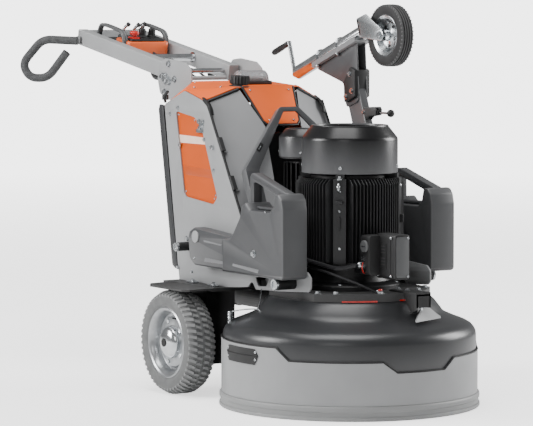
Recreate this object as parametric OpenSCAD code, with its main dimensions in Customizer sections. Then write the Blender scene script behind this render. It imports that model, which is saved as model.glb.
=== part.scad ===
// Walk-behind planetary floor grinder: a weighted grinding head with a floating
// dust skirt, a wheeled chassis, swing-over weights and a fold-forward jockey wheel.
// Millimetres. +Z is up, -Y is the front. Inside the modules y is measured from the
// grinding head's axis, and the last step moves the machine's middle to the origin.

/* [Grinding head] */
// Outside diameter of the skirt's floor lip
lip_d = 850; // [780:1:900]
// Height of the floor lip
lip_h = 46.5; // [40:0.5:55]
// Outside diameter of the skirt's steel band
band_d = 836; // [770:1:890]
// Wall of the skirt's steel band
band_wall = 4; // [2:0.5:5]
// Gap between the band and the cover inside it
band_gap = 1.5; // [1:0.5:3]
// Wall of the moulded head cover
cover_wall = 4; // [3:0.5:6]
// Height of the cover's shoulder
shoulder_z = 236; // [232:1:250]
// Height of the underside of the base plate
base_z = 357; // [350:1:375]
// Thickness of the base plate
base_t = 25; // [20:1:30]
// Diameter of each grinding disc
disc_d = 270; // [230:1:280]
// Distance from the head's axis to each grinding disc's axis
disc_orbit = 235; // [225:1:240]

/* [Motors] */
// Outside diameter of the main motor's fan cover
fan_d = 312.4; // [290:0.5:320]
// Top of the main motor's fan cover
fan_top_z = 910; // [895:1:930]
// Outside diameter over the main motor's fins
fin_d = 350; // [320:1:352]
// Radius of the main shaft
main_shaft_r = 20; // [15:0.5:25]
// Distance from the head's axis back to the small motor's axis
small_y = 256; // [254:1:262]
// Outside diameter of the small motor's fan cover
small_fan_d = 186.4; // [170:0.5:188]
// Radius of the small motor's shaft
small_shaft_r = 10; // [8:0.5:12]

/* [Chassis] */
// Width over the two side plates
chassis_w = 470; // [460:1:480]
// Thickness of each side plate
plate_t = 6; // [4:0.5:8]
// Height of the deck's top face
deck_z = 361; // [361:1:364]
// Distance from the head's axis back to the wheel axle
axle_y = 499; // [495:1:515]
// Diameter of the rear tyres
tyre_d = 349; // [330:1:349]
// Width of the rear tyres
tyre_w = 105; // [80:1:108]
// Distance between the middles of the rear tyres
track_w = 712; // [705:1:712]
// Radius of the stub axles
axle_r = 14; // [10:0.5:18]

/* [Weights] */
// Distance back to the weight arm's pivot
weight_pivot_y = 490; // [480:1:500]
// Height of the weight arm's pivot
weight_pivot_z = 524; // [518:1:530]
// Radius of the weight arm's pivot pin
weight_pin_r = 12; // [8:0.5:14]
// Width of each weight block
weight_w = 95; // [70:1:98]

/* [Jockey wheel] */
// Distance of the jockey arm from the machine's middle plane
jockey_x = 205; // [203:0.5:205]
// Outside radius of the jockey tube
jockey_tube_r = 24; // [20:0.5:24]
// Diameter of the jockey wheel
jockey_d = 206; // [180:1:210]
// Width of the jockey tyre
jockey_w = 50; // [40:1:54]
// Radius of the jockey wheel's axle
jockey_axle_r = 6; // [5:0.5:8]

/* [Handle] */
// Length of the handle's arms
arm_len = 700; // [600:1:800]
// Height of the arm's box section
arm_h = 56; // [45:1:60]
// Width over the two arms
arm_span = 270; // [240:1:276]
// Radius of the foam grips
grip_r = 15.5; // [12:0.5:18]

/* [Fits] */
// Radial clearance of a shaft in its bore
run_gap = 0.05; // [0.02:0.01:0.1]

/* [Hidden] */
$fn = 64;

// Colours
light_grey = [0.74, 0.74, 0.74];
mid_grey = [0.55, 0.55, 0.56];
dark_grey = [0.30, 0.30, 0.31];
black = [0.11, 0.11, 0.11];
orange = [0.88, 0.40, 0.15];
zinc = [0.80, 0.81, 0.82];
foam = [0.24, 0.24, 0.25];

// Grips: a bent loop on each side, splayed this far from straight back
arm_start = [905, 1085];
arm_lean = 10;
arm_end = arm_start + arm_len * [cos(arm_lean), sin(arm_lean)];
grip_splay = 45;
grip_start = [arm_span / 2 + 0.72 * grip_r, arm_end.x - 14.365];
grip_path = [for (p = [[0, 0], [136, 6], [214, -84], [186, -137], [116, -137], [42, -41]])
    [p.x, arm_end.y - 42.55 + p.y]];
grip_bend = 34;
// How far the rounded loop reaches back past its start, along the machine
grip_back = 145.1;

front_y = -lip_d / 2;
rear_y = grip_start.y + grip_back + grip_r;
mid_y = (front_y + rear_y) / 2;

// Head
band_r = band_d / 2;
cover_r = band_r - band_wall - band_gap;
base_top = base_z + base_t;
base_r = 262;
plate_in = chassis_w / 2 - plate_t;
base_flat = plate_in - 3;
disc_z = 26;
casing_r = disc_orbit + disc_d / 2 + 15;
casing_z = 75;
casing_top = 165;
hub_r = 70;
disc_shaft_r = 32;

// Motors
fin_r = fin_d / 2;
fan_r = fan_d / 2;
fan_z = 757;
fan_wall = 3;
small_fan_r = small_fan_d / 2;
small_fan_z = 797;
small_top = 888;

// Side plate outline (y, z), anticlockwise from the rear lower corner
side_outline = [
    [696, deck_z], [793, 957], [660, 1006], [541, 976], [512, 958], [500, 940],
    [301, 607], [228, 470], [-110, 449], [-129, 432], [-129, 398], [-117, 386],
    [60, 374], [200, 368], [225, 396], [250, 372], [372, deck_z]
];
window_outline = [
    [716, 936], [590, 918], [562, 898], [540, 872], [444, 655], [470, 631], [649, 647], [662, 660]
];
hand_slot = [[205, 410], [186, 381], [136, 384], [116, 412]];

// Slope of the chassis front and the jockey arm
front_lean = 52.1;
shield_lean = 66;
shield_y = 365;
shield_top = 958;
post_lean = 21.1;
door_lean = 9.6;
post_len = 640;
post_y = 50;
post_z = 435;
post_w = 30;
post_pin_r = 8;
post_d = 80;
tube_lean = 19.6;
tube_rear = [629, 1063];
tube_len = 455;
tube_wall = 3;
crank_throw = 115;
crank_len = 107;
jockey_wheel = [66, 1197];
fork_gap = 40;

// Handle
arm_w = 40;
handle_pin = [934, 1040];
handle_pin_r = 8;

// Points of the two cables inside the guards
motor_cable_path = [
    [-103, -191, 472], [-140, -150, 456], [-184, -29, 480], [-180, 60, 487],
    [-152, 150, 492], [-130, 225, 495], [-106, 256, 495]
];
sensor_cable_path = [
    [-60, -236, 388], [-100, -206, 412], [-164, -124, 446], [-176, 20, 462],
    [-146, 150, 470], [-122, 232, 476], [-100, 244, 478]
];

// ---------------------------------------------------------------- helpers

module placed() translate([0, -mid_y, 0]) children();

// A solid whose outline is drawn in the side view (y, z), from x0 to x1
module side_slab(x0, x1) translate([x0, 0, 0]) rotate([90, 0, 90]) linear_extrude(x1 - x0) children();

module both_sides() {
    children();
    mirror([1, 0, 0]) children();
}

module x_cylinder(r, x0, x1, y, z) translate([x0, y, z]) rotate([0, 90, 0]) cylinder(r = r, h = x1 - x0);

module ring(r_in, r_out, z0, z1) rotate_extrude($fn = 128) translate([r_in, z0]) square([r_out - r_in, z1 - z0]);

module box(low, high) translate(low) cube(high - low);

// The convex solid through a list of points
module solid_through(points) hull()
    polyhedron(points, [for (i = [0 : len(points) - 3]) [i, i + 1, i + 2]]);

function unit(v) = v / norm(v);

// A path's corners, each replaced by an arc-like run of points
function rounded_path(path, bend, steps = 4) = concat(
    [path[0]],
    [for (i = [1 : len(path) - 2], k = [0 : steps])
        let (a = path[i] + unit(path[i - 1] - path[i]) * min(bend, norm(path[i - 1] - path[i]) * 0.45),
             b = path[i] + unit(path[i + 1] - path[i]) * min(bend, norm(path[i + 1] - path[i]) * 0.45),
             t = k / steps)
        a * (1 - t) * (1 - t) + path[i] * 2 * t * (1 - t) + b * t * t],
    [path[len(path) - 1]]
);

// A tube of round section swept along a path that never runs parallel to `side`
module swept_tube(path, r, side, sides = 10) {
    n = len(path);
    points = [for (i = [0 : n - 1])
        let (before = path[max(i - 1, 0)], after = path[min(i + 1, n - 1)],
             along = unit(after - before),
             u = unit(cross(along, side)), v = cross(along, u))
        for (k = [0 : sides - 1]) path[i] + r * (cos(k * 360 / sides) * u + sin(k * 360 / sides) * v)];
    faces = concat(
        [[for (k = [0 : sides - 1]) k]],
        [for (i = [0 : n - 2], k = [0 : sides - 1])
            [i * sides + k, (i + 1) * sides + k, (i + 1) * sides + (k + 1) % sides, i * sides + (k + 1) % sides]],
        [[for (k = [sides - 1 : -1 : 0]) (n - 1) * sides + k]]
    );
    polyhedron(points, faces);
}

module hex_head(r, h) cylinder(r = r, h = h, $fn = 6);

module along_post() translate([jockey_x, post_y, post_z]) rotate([-post_lean, 0, 0]) children();

module along_tube() translate([jockey_x, tube_rear.x, tube_rear.y]) rotate([-tube_lean, 0, 0]) children();

module along_arm() translate([0, arm_start.x, arm_start.y]) rotate([arm_lean, 0, 0]) children();

module on_hood() translate([0, 500, 1022]) rotate([3.12, 0, 0]) children();

// ---------------------------------------------------------------- grinding head

module base_plate() color(black) placed() {
    base_plate_body();
    x_cylinder(post_pin_r, jockey_x - 23, plate_in - 2, post_y, post_z);
}

module base_plate_body() difference() {
    union() {
        intersection() {
            translate([0, 0, base_z]) cylinder(r = base_r, h = base_t, $fn = 128);
            box([-base_flat, -base_r, base_z], [base_flat, base_r, base_top]);
        }
        box([-115, 0, base_z], [115, 360, base_top]);
        box([jockey_x - 24, post_y - 40, base_top - 1], [plate_in - 3, post_y + 40, base_top + 8]);
        side_slab(jockey_x - 24, jockey_x - post_w / 2 - 0.5) clevis_ear();
        side_slab(jockey_x + post_w / 2 + 0.5, plate_in - 1) clevis_ear();
    }
    translate([0, 0, base_z - 1]) cylinder(r = main_shaft_r + 4, h = base_t + 2);
    translate([0, small_y, base_z - 1]) cylinder(r = small_shaft_r + 4, h = base_t + 2);
}

// Ears that carry the jockey arm's pivot pin
module clevis_ear() {
    translate([post_y - 35, base_top]) square([70, post_z - base_top]);
    translate([post_y, post_z]) circle(r = 35);
}

module head_cover() color(dark_grey) placed() difference() {
    rotate_extrude($fn = 128) polygon([
        [cover_r, 120], [cover_r, shoulder_z], [cover_r - 5, shoulder_z + 18], [cover_r - 19, shoulder_z + 33],
        [372, 281], [310, 308], [296, 320], [272, 350], [262, base_z], [200, base_z],
        [200, base_z - cover_wall], [260, base_z - cover_wall], [268, 346], [292, 316], [308, 304],
        [370, 277], [cover_r - 22, shoulder_z + 29.5], [cover_r - 9, shoulder_z + 16],
        [cover_r - cover_wall, shoulder_z], [cover_r - cover_wall, 120]
    ]);
    translate([0, small_y, base_z - 20]) cylinder(r = small_shaft_r + 6, h = 30);
}

module bearing_housing() color(mid_grey) placed() rotate_extrude($fn = 96) polygon([
    [hub_r + run_gap, 300], [120, 300], [120, base_z - 7], [160, base_z - 7], [160, base_z], [hub_r + run_gap, base_z]
]);

// Towing bracket on the front of the base plate
module front_bracket() color(black) placed() {
    box([35, -330, base_top], [90, -182, base_top + 6]);
    difference() {
        box([35, -330, 346], [90, -302, base_top]);
        box([41, -331, 345], [84, -308, base_top - 6]);
    }
    side_slab(31, 35) polygon([
        [-182, base_top], [-182, base_top + 6], [-330, base_top + 6], [-330, 330], [-303, 322], [-274, 358], [-264, base_top]
    ]);
    translate([62, -319, 338]) cylinder(r = 7, h = base_top - 336);
}

module gusset_plate() color(light_grey) placed() solid_through([
    [16, -352, 296], [140, -318, 300], [92, -286, 350], [98, -272, 350], [18, -346, 302], [142, -312, 306]
]);

// Flat outline of the finned body: four groups of parallel fins and four corner bosses
module fin_outline() {
    for (side = [0 : 3]) rotate(90 * side) {
        for (i = [-8 : 8]) translate([i * 11 - 2, 60]) square([4, sqrt(fin_r * fin_r - pow(i * 11, 2)) - 60.5]);
        rotate(45) translate([100, -21]) square([fin_r - 106, 42]);
    }
    circle(r = 130, $fn = 96);
}

module motor_body() color(black) placed() difference() {
    union() {
        rotate_extrude($fn = 96) polygon([
            [0, base_top], [165, base_top], [165, base_top + 18], [135, base_top + 26], [126, 450], [126, 470],
            [126, 750], [fan_r - fan_wall, fan_z], [fan_r - fan_wall, fan_z + 18], [0, fan_z + 18]
        ]);
        translate([0, 0, 474]) linear_extrude(264) fin_outline();
        box([-60, -fin_r - 1, 440], [30, -120, 565]);
    }
    translate([0, 0, base_top - 1]) cylinder(r = main_shaft_r + run_gap, h = 420);
}

module motor_fan_cover() color(black) placed() rotate_extrude($fn = 128) polygon([
    [fan_r - fan_wall, fan_z], [fan_r, fan_z], [fan_r, fan_top_z - 41], [fan_r - 30.4, fan_top_z - 2],
    [fan_r - 31, fan_top_z], [fan_r - 42, fan_top_z], [fan_r - 42, fan_top_z - 3], [fan_r - 34, fan_top_z - 3],
    [fan_r - fan_wall, fan_top_z - 43]
]);

box_back = -fin_r - 1;

module terminal_box() color(black) placed() {
    box([-76, box_back - 30, 440], [20, box_back, 567]);
    box([-37, box_back - 108, 430], [20, box_back - 30, 573]);
}

module cable_glands() color(zinc) placed() {
    x_cylinder(11, -98, -76, box_back - 15, 472);
    translate([-60, box_back - 30, 532]) rotate([90, 0, 0]) cylinder(r = 12, h = 5);
    x_cylinder(10, -100, -88, small_y, 495);
    translate([-44, -236, base_top]) rotate([0, -90, 0]) box([0, -7, 0], [12, 7, 12]);
}

module small_motor_body() color(black) placed() translate([0, small_y, 0]) difference() {
    union() {
        rotate_extrude($fn = 64) polygon([
            [0, base_top], [82, base_top], [82, base_top + 16], [64, base_top + 22], [62, 430], [62, 780],
            [small_fan_r - fan_wall, small_fan_z - 6], [small_fan_r - fan_wall, small_fan_z + 14], [0, small_fan_z + 14]
        ]);
        for (a = [0 : 15 : 345]) rotate([0, 0, a]) box([55, -1.5, 432], [78, 1.5, 776]);
        box([-88, -26, 466], [-50, 26, 520]);
    }
    translate([0, 0, base_top - 1]) cylinder(r = small_shaft_r + run_gap, h = 450);
}

module small_fan_cover() color(black) placed() translate([0, small_y, 0]) rotate_extrude($fn = 96) polygon([
    [small_fan_r - fan_wall, small_fan_z], [small_fan_r, small_fan_z], [small_fan_r, small_top - 26],
    [small_fan_r - 22, small_top], [small_fan_r - 34, small_top], [small_fan_r - 34, small_top - 3],
    [small_fan_r - 23, small_top - 3], [small_fan_r - fan_wall, small_top - 27]
]);

module motor_cable() color(black) placed()
    swept_tube(rounded_path(motor_cable_path, 30, 3), 7, [0, 0, 1], 8);

module sensor_cable() color(black) placed()
    swept_tube(rounded_path(sensor_cable_path, 30, 3), 4, [0, 0, 1], 8);

module main_rotor() color(zinc) placed() {
    translate([0, 0, 92]) cylinder(r = main_shaft_r, h = 780);
    translate([0, 0, 100]) cylinder(r = 60, h = 30);
}

module main_fan() color(foam) placed() difference() {
    union() {
        translate([0, 0, 800]) cylinder(r = 42, h = 40);
        for (a = [0 : 45 : 315]) rotate([0, 0, a]) box([38, -2, 800], [fan_r - 16, 2, 850]);
    }
    translate([0, 0, 799]) cylinder(r = main_shaft_r, h = 60);
}

module small_rotor() color(zinc) placed() translate([0, small_y, 0]) {
    translate([0, 0, 238]) cylinder(r = small_shaft_r, h = 612);
    translate([0, 0, 238]) cylinder(r = 34, h = 20);
    translate([0, 0, 822]) cylinder(r = 24, h = 24);
    for (a = [0 : 60 : 300]) rotate([0, 0, a]) box([20, -1.5, 822], [small_fan_r - 14, 1.5, 846]);
}

module planetary_disc() color(mid_grey) placed() difference() {
    rotate_extrude($fn = 128) polygon([
        [main_shaft_r + 10, casing_top - 10], [casing_r - 12, casing_top - 10], [casing_r - 12, casing_z + 12],
        [main_shaft_r + 10, casing_z + 12], [main_shaft_r + 10, casing_z], [casing_r, casing_z], [casing_r, casing_top],
        [90, casing_top], [90, 236], [150, 236], [150, 258], [hub_r, 258], [hub_r, 345], [main_shaft_r + 10, 345]
    ]);
    for (k = [0 : 2]) rotate([0, 0, 90 + 120 * k]) translate([disc_orbit, 0, casing_z - 1])
        cylinder(r = disc_shaft_r + run_gap, h = 14);
}

module grinding_disc(k) color(zinc) placed() rotate([0, 0, 90 + 120 * k]) translate([disc_orbit, 0, 0]) {
    translate([0, 0, disc_z]) cylinder(r = disc_d / 2, h = 12);
    translate([0, 0, disc_z + 6]) cylinder(r = 60, h = 30);
    translate([0, 0, disc_z + 30]) cylinder(r = disc_shaft_r, h = 56);
    translate([0, 0, 100]) cylinder(r = 55, h = 30);
    for (a = [0 : 40 : 320]) rotate([0, 0, a]) box([disc_d / 2 - 45, -8, 0], [disc_d / 2 - 5, 8, disc_z + 4]);
}

module grinding_disc_1() grinding_disc(0);
module grinding_disc_2() grinding_disc(1);
module grinding_disc_3() grinding_disc(2);

// ---------------------------------------------------------------- dust skirt

// A wedge of the space outside the axis, between two angles from the front
module sector(a0, a1, z0, z1) translate([0, 0, z0]) linear_extrude(z1 - z0)
    polygon(concat([[0, 0]], [for (i = [0 : 6]) let (a = a0 + (a1 - a0) * i / 6) 520 * [sin(a), -cos(a)]]));

// A cut above a slanted line that rises from z0 at angle a0 to z1 at angle a1
module band_step(a0, a1, z0, z1, top) {
    half = band_r * sin((a1 - a0) / 2);
    end = -half + 2 * half * (top - z0) / (z1 - z0);
    rotate([0, 0, (a0 + a1) / 2]) translate([0, -band_r + 40, 0]) rotate([90, 0, 0]) linear_extrude(60)
        polygon([[-half - 2, z0 - 2 * (z1 - z0) / (2 * half)], [end, top], [-half - 2, top]]);
}

band_low = 150;
band_mid = 184;
band_high = 223;

module skirt_band() color(light_grey) placed() difference() {
    ring(band_r - band_wall, band_r, lip_h, band_high);
    sector(-12.3, 12.3, band_low, 240);
    sector(-60.8, 60.8, band_mid, 241);
    for (s = [-1, 1]) mirror([s < 0 ? 1 : 0, 0, 0]) {
        band_step(12.5, 19, band_low, band_mid, 188);
        band_step(61, 67.5, band_mid, band_high, 243);
    }
}

module skirt_lip() color(mid_grey) placed() rotate_extrude($fn = 128) polygon([
    [lip_d / 2 - 18, 0], [lip_d / 2 - 1.5, 0], [lip_d / 2, 3], [lip_d / 2, 10], [lip_d / 2 - 4, 13],
    [lip_d / 2 - 4, 28], [lip_d / 2 - 1, 31], [lip_d / 2 - 1, lip_h - 5], [lip_d / 2 - 4, lip_h], [lip_d / 2 - 18, lip_h]
]);

// Hexagonal hand-hold plates, one on each side of the band
module skirt_holds() color(foam) placed() both_sides() {
    intersection() {
        ring(band_r, band_r + 3, 150, 230);
        rotate([0, 0, 90]) translate([0, -band_r + 60, 0]) rotate([90, 0, 0]) linear_extrude(90)
            polygon([[-92, 192], [-82, 162], [82, 162], [92, 192], [76, 212], [-76, 212]]);
    }
    for (t = [-78, 78], z = [172, 202]) rotate([0, 0, 90 + t / 7.6]) translate([0, -band_r - 3, z])
        rotate([90, 0, 0]) cylinder(r = 4, h = 2, $fn = 24);
}

// ---------------------------------------------------------------- chassis

module side_plate() {
    difference() {
        side_slab(plate_in, plate_in + plate_t) difference() {
            polygon(side_outline);
            polygon(window_outline);
            polygon(hand_slot);
        }
    }
    x_cylinder(weight_pin_r, plate_in + plate_t, plate_in + plate_t + 61, weight_pivot_y, weight_pivot_z);
    x_cylinder(weight_pin_r + 8, plate_in + plate_t + 56, plate_in + plate_t + 61, weight_pivot_y, weight_pivot_z);
}

module side_plate_left() color(light_grey) placed() side_plate();
module side_plate_right() color(light_grey) placed() mirror([1, 0, 0]) side_plate();

// Panels that close the windows from inside
module inset_panels() color(orange) placed() both_sides()
    side_slab(plate_in - 3, plate_in) polygon([
        [725, 928], [588, 928], [552, 906], [530, 876], [430, 650], [460, 618], [655, 633], [676, 655]
    ]);

module deck_plate() color(black) placed() {
    box([-plate_in - plate_t - 60, 372, deck_z - 12], [plate_in + plate_t + 60, 700, deck_z]);
    both_sides() translate([0, 0, deck_z - 8]) linear_extrude(7) polygon([
        [plate_in + 60, 372], [385, 372], [405, 392], [405, 600], [380, 640], [plate_in + 60, 660]
    ]);
}

// Wheel drive gearboxes with their stub axles
module gearboxes() color(black) placed() both_sides() {
    box([178, axle_y - 74, 100], [290, axle_y + 76, deck_z - 12]);
    x_cylinder(axle_r, 290, track_w / 2 + 56, axle_y, tyre_d / 2);
    x_cylinder(60, 286, 296, axle_y, tyre_d / 2);
}

// Dust outlet under the deck, ending in a plain spigot
module hose_port() color(black) placed() difference() {
    union() {
        translate([0, 420, 300]) rotate([-90, 0, 0]) cylinder(r = 38, h = 330);
        translate([0, 680, 300]) rotate([-90, 0, 0]) cylinder(r = 41, h = 10);
        box([-30, 560, 300], [30, 600, deck_z - 12]);
    }
    translate([0, 419, 300]) rotate([-90, 0, 0]) cylinder(r = 35, h = 332);
}

hood_points = [for (s = [-1, 1]) each [
    [s * 125, 500, 1022], [s * 140, 757, 1036], [s * plate_in, 541, 978], [s * plate_in, 660, 1008], [s * plate_in, 793, 959]
]];

// Hood with its front flap; open underneath
module top_cover() color(orange) placed() {
    difference() {
        solid_through(concat(hood_points, [for (p = hood_points) p - [0, 0, 30]]));
        solid_through([for (p = concat(hood_points, [for (q = hood_points) q - [0, 0, 60]])) [p.x * 0.982, 4 + p.y * 0.993, p.z - 4]]);
    }
    translate([0, 500, 1022]) rotate([front_lean, 0, 0]) translate([0, 0, -4]) linear_extrude(4)
        polygon([[-98, 0], [-68, -142], [-56, -155], [56, -155], [68, -142], [98, 0]]);
}

// Grey covers that slope down from the hood to the front edges of the side plates
module front_panel() color(mid_grey) placed() both_sides()
    solid_through([
        [113, 496, 1012], [plate_in - 1, 534, 968], [71, 402, 893], [plate_in - 1, 304, 607], [108, 250, 607],
        [115, 497, 1010], [plate_in - 1, 537, 966], [73, 408, 889], [plate_in - 1, 310, 603], [108, 256, 603]
    ]);

// Guard arch between the small motor and the chassis front
module front_shield() color(dark_grey) placed()
    translate([0, shield_y, shield_top]) rotate([shield_lean, 0, 0]) translate([0, 0, -6]) linear_extrude(6)
        difference() {
            polygon([[-212, -628], [-212, -206], [-53, 0], [53, 0], [212, -206], [212, -628]]);
            polygon([[-164, -640], [-164, -216], [-44, -17], [44, -17], [164, -216], [164, -640]]);
        }

module electronics_box() color(black) placed() box([-200, 482, 400], [200, 640, 860]);

module rear_panel() color(black) placed() side_slab(-plate_in, plate_in)
    polygon([[690, deck_z + 2], [694, deck_z + 2], [791, 927], [787, 927]]);

module rear_door() color(dark_grey) placed() {
    side_slab(-plate_in + 4, plate_in - 17)
        polygon([[708, 404], [722, 396], [736, 408], [824, 938], [816, 950], [800, 948]]);
    translate([plate_in - 19, 709, 404]) rotate([-door_lean, 0, 0]) translate([0, 0, -30]) cylinder(r = 5, h = 150);
}

module beacon_base() color(dark_grey) placed() on_hood() box([-66, 72, 0], [66, 148, 12]);

module beacon_lens() color([0.9, 0.93, 0.95, 0.5]) placed() on_hood() difference() {
    translate([-53, 110, 12]) rotate([0, 90, 0]) cylinder(r = 34, h = 106);
    translate([-50, 110, 12]) rotate([0, 90, 0]) cylinder(r = 31, h = 100);
    box([-60, 60, -40], [60, 160, 12]);
}

module filler_cap() color(black) placed() on_hood() translate([-90, 34, 0.3]) {
    cylinder(r = 29, h = 10);
    translate([0, 0, 10]) for (a = [0 : 20 : 340]) rotate([0, 0, a]) box([26, -2.5, 0], [33, 2.5, 22]);
    translate([0, 0, 10]) cylinder(r = 30, h = 24);
}

hinge_in = arm_span / 2 + 6;

// Plates that carry the handle, with its pivot pin
module hinge_plates() color(light_grey) placed() {
    both_sides() side_slab(hinge_in, hinge_in + 6) polygon([
        [759, 1036], [766, 1076], [802, 1098], [910, 1109], [962, 1104], [992, 1070], [991, 1030],
        [977, 988], [925, 968], [795, 957]
    ]);
    x_cylinder(handle_pin_r, -hinge_in - 12, hinge_in + 12, handle_pin.x, handle_pin.y);
}

// Rubber stops that the weights rest on, in front and when swung back
module bumpers() color(foam) placed() both_sides() {
    x_cylinder(19, plate_in + plate_t, plate_in + plate_t + 77, -30, 408);
    x_cylinder(15, plate_in + plate_t, plate_in + plate_t + 57, 626, 480);
}

module chassis_bolts() color(zinc) placed() {
    for (a = [-50, -22, 30, 50, 130, 155, 205, 230]) rotate([0, 0, a - 90]) translate([246, 0, base_top]) hex_head(9, 7);
    both_sides() {
        for (p = [[754, 925], [700, 948], [528, 846], [466, 745], [610, 393], [690, 820]])
            translate([plate_in + plate_t, p.x, p.y]) rotate([0, 90, 0]) hex_head(6, 3.5);
        for (p = [[913, 1092], [873, 1039], [942, 993]])
            translate([hinge_in + 6, p.x, p.y]) rotate([0, 90, 0]) hex_head(9, 7);
    }
}

// ---------------------------------------------------------------- rear wheels

// Wheel parts are drawn about the X axis, outer face towards +X
module wheel_place(side) placed() mirror([side < 0 ? 1 : 0, 0, 0])
    translate([track_w / 2, axle_y, tyre_d / 2]) rotate([0, 90, 0]) children();

rim_r = 116;

module tyre_shape() rotate_extrude($fn = 96) polygon([
    [rim_r, -tyre_w / 2 + 12], [rim_r + 12, -tyre_w / 2 + 3], [rim_r + 34, -tyre_w / 2], [tyre_d / 2 - 9, -tyre_w / 2 + 8],
    [tyre_d / 2, -tyre_w / 2 + 22], [tyre_d / 2, tyre_w / 2 - 22], [tyre_d / 2 - 9, tyre_w / 2 - 8],
    [rim_r + 34, tyre_w / 2], [rim_r + 12, tyre_w / 2 - 3], [rim_r, tyre_w / 2 - 12]
]);

module rim_shape() rotate_extrude($fn = 96) polygon([
    [axle_r + run_gap, -30], [40, -30], [40, 6], [80, 12], [96, -6], [100, -40], [rim_r, -tyre_w / 2 + 12],
    [rim_r, tyre_w / 2 - 12], [104, tyre_w / 2 - 14], [100, 16], [84, 24], [42, 18], [38, 42], [axle_r + run_gap, 42]
]);

module tyre_left() color(mid_grey) wheel_place(1) tyre_shape();
module rim_left() color(zinc) wheel_place(1) rim_shape();
module tyre_right() color(mid_grey) wheel_place(-1) tyre_shape();
module rim_right() color(zinc) wheel_place(-1) rim_shape();

// ---------------------------------------------------------------- swing weights

weight_in = plate_in + plate_t + 5;
// The lifting bar: how far in from the block's inner face it starts, and its width
bar_in = 28;
bar_w = 34;

module weight_shape() difference() {
    union() {
        side_slab(weight_in, weight_in + 50) polygon([
            [505, 554], [535, 540], [543, 518], [534, 449], [502, 428], [100, 428], [100, 545], [240, 536]
        ]);
        side_slab(weight_in, weight_in + weight_w) difference() {
            polygon([
                [250, 536], [205, 538], [188, 552], [142, 612], [126, 672], [130, 744], [120, 756], [102, 757],
                [-92, 702], [-112, 682], [-120, 650], [-120, 436], [-112, 428], [250, 428]
            ]);
            polygon([[104, 654], [106, 730], [-72, 679], [-56, 652]]);
        }
    }
    for (cut = [[-1, bar_in], [bar_in + bar_w, weight_w + 1]])
        side_slab(weight_in + cut[0], weight_in + cut[1]) polygon([
            [104, 664], [76, 641], [-40, 641], [-62, 660], [-72, 701], [-72, 760], [150, 760], [150, 664]
        ]);
    x_cylinder(weight_pin_r + run_gap, weight_in - 1, weight_in + 51, weight_pivot_y, weight_pivot_z);
}

module weight_left() color(dark_grey) placed() weight_shape();
module weight_right() color(dark_grey) placed() mirror([1, 0, 0]) weight_shape();

// ---------------------------------------------------------------- jockey wheel

// Leaning post, tube clamp and lock housing; it turns on a pin through its foot
module jockey_post() color(dark_grey) placed() {
    difference() {
        union() {
            side_slab(jockey_x - post_w / 2, jockey_x + post_w / 2) translate([post_y, post_z]) rotate(-post_lean) {
                translate([-post_d / 2, 0]) square([post_d, post_len]);
                circle(r = post_d / 2);
            }
            box([jockey_x - 13, 130, 922], [jockey_x + 13, 215, 956]);
        }
        x_cylinder(post_pin_r + run_gap, jockey_x - 20, jockey_x + 20, post_y, post_z);
        translate([jockey_x, 120, 940]) rotate([-90, 0, 0]) cylinder(r = 4 + run_gap, h = 70);
    }
    for (x = [-post_w / 2 - 4, post_w / 2 - 1]) side_slab(jockey_x + x, jockey_x + x + 5)
        polygon([[226, 975], [300, 952], [318, 1035], [474, 1077], [480, 1088], [240, 1173]]);
    along_tube() difference() {
        box([-34, -420, -jockey_tube_r - 5], [34, -140, -jockey_tube_r]);
        for (y = [-293, -166], s = [-1, 1]) translate([s * (jockey_tube_r + 2.6), y, -40]) cylinder(r = 3.3, h = 20);
    }
}

// Outer tube with its two U-bolts
module jockey_tube() color(zinc) placed() along_tube() {
    difference() {
        translate([0, 0, 0]) rotate([90, 0, 0]) cylinder(r = jockey_tube_r, h = tube_len);
        translate([0, -8, 0]) rotate([90, 0, 0]) cylinder(r = jockey_tube_r - tube_wall, h = tube_len);
        translate([0, 1, 0]) rotate([90, 0, 0]) cylinder(r = 6 + run_gap, h = 20);
    }
    for (y = [-293, -166]) translate([0, y, 0]) {
        rotate([90, 0, 0]) rotate_extrude(angle = 180, $fn = 48) translate([jockey_tube_r + 2.6, 0]) circle(r = 3, $fn = 24);
        for (s = [-1, 1]) translate([s * (jockey_tube_r + 2.6), 0, -jockey_tube_r - 12])
            cylinder(r = 3, h = jockey_tube_r + 12, $fn = 24);
    }
}

// Inner tube with the fork and the wheel's axle
module jockey_fork() color(zinc) placed() {
    along_tube() {
        translate([0, -250, 0]) rotate([90, 0, 0]) cylinder(r = jockey_tube_r - tube_wall - 0.5, h = 228);
        box([-fork_gap - 3, -470, -30], [fork_gap + 3, -462, 36]);
    }
    for (s = [-1, 1]) side_slab(jockey_x + s * (fork_gap + 1.5) - 1.5, jockey_x + s * (fork_gap + 1.5) + 1.5) {
        polygon([[207, 1251], [150, 1268], [54, 1213], [60, 1178], [185, 1189]]);
        translate([jockey_wheel.x, jockey_wheel.y]) circle(r = 20);
    }
    x_cylinder(jockey_axle_r, jockey_x - fork_gap - 8, jockey_x + fork_gap + 8, jockey_wheel.x, jockey_wheel.y);
}

module jockey_wheel_place() placed() translate([jockey_x, jockey_wheel.x, jockey_wheel.y]) rotate([0, 90, 0]) children();

jockey_rim_r = 66;

module jockey_tyre() color(foam) jockey_wheel_place() rotate_extrude($fn = 96) polygon([
    [jockey_rim_r, -jockey_w / 2 + 4], [jockey_d / 2 - 14, -jockey_w / 2], [jockey_d / 2 - 3, -jockey_w / 2 + 6],
    [jockey_d / 2, -jockey_w / 2 + 14], [jockey_d / 2, jockey_w / 2 - 14], [jockey_d / 2 - 3, jockey_w / 2 - 6],
    [jockey_d / 2 - 14, jockey_w / 2], [jockey_rim_r, jockey_w / 2 - 4]
]);

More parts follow.
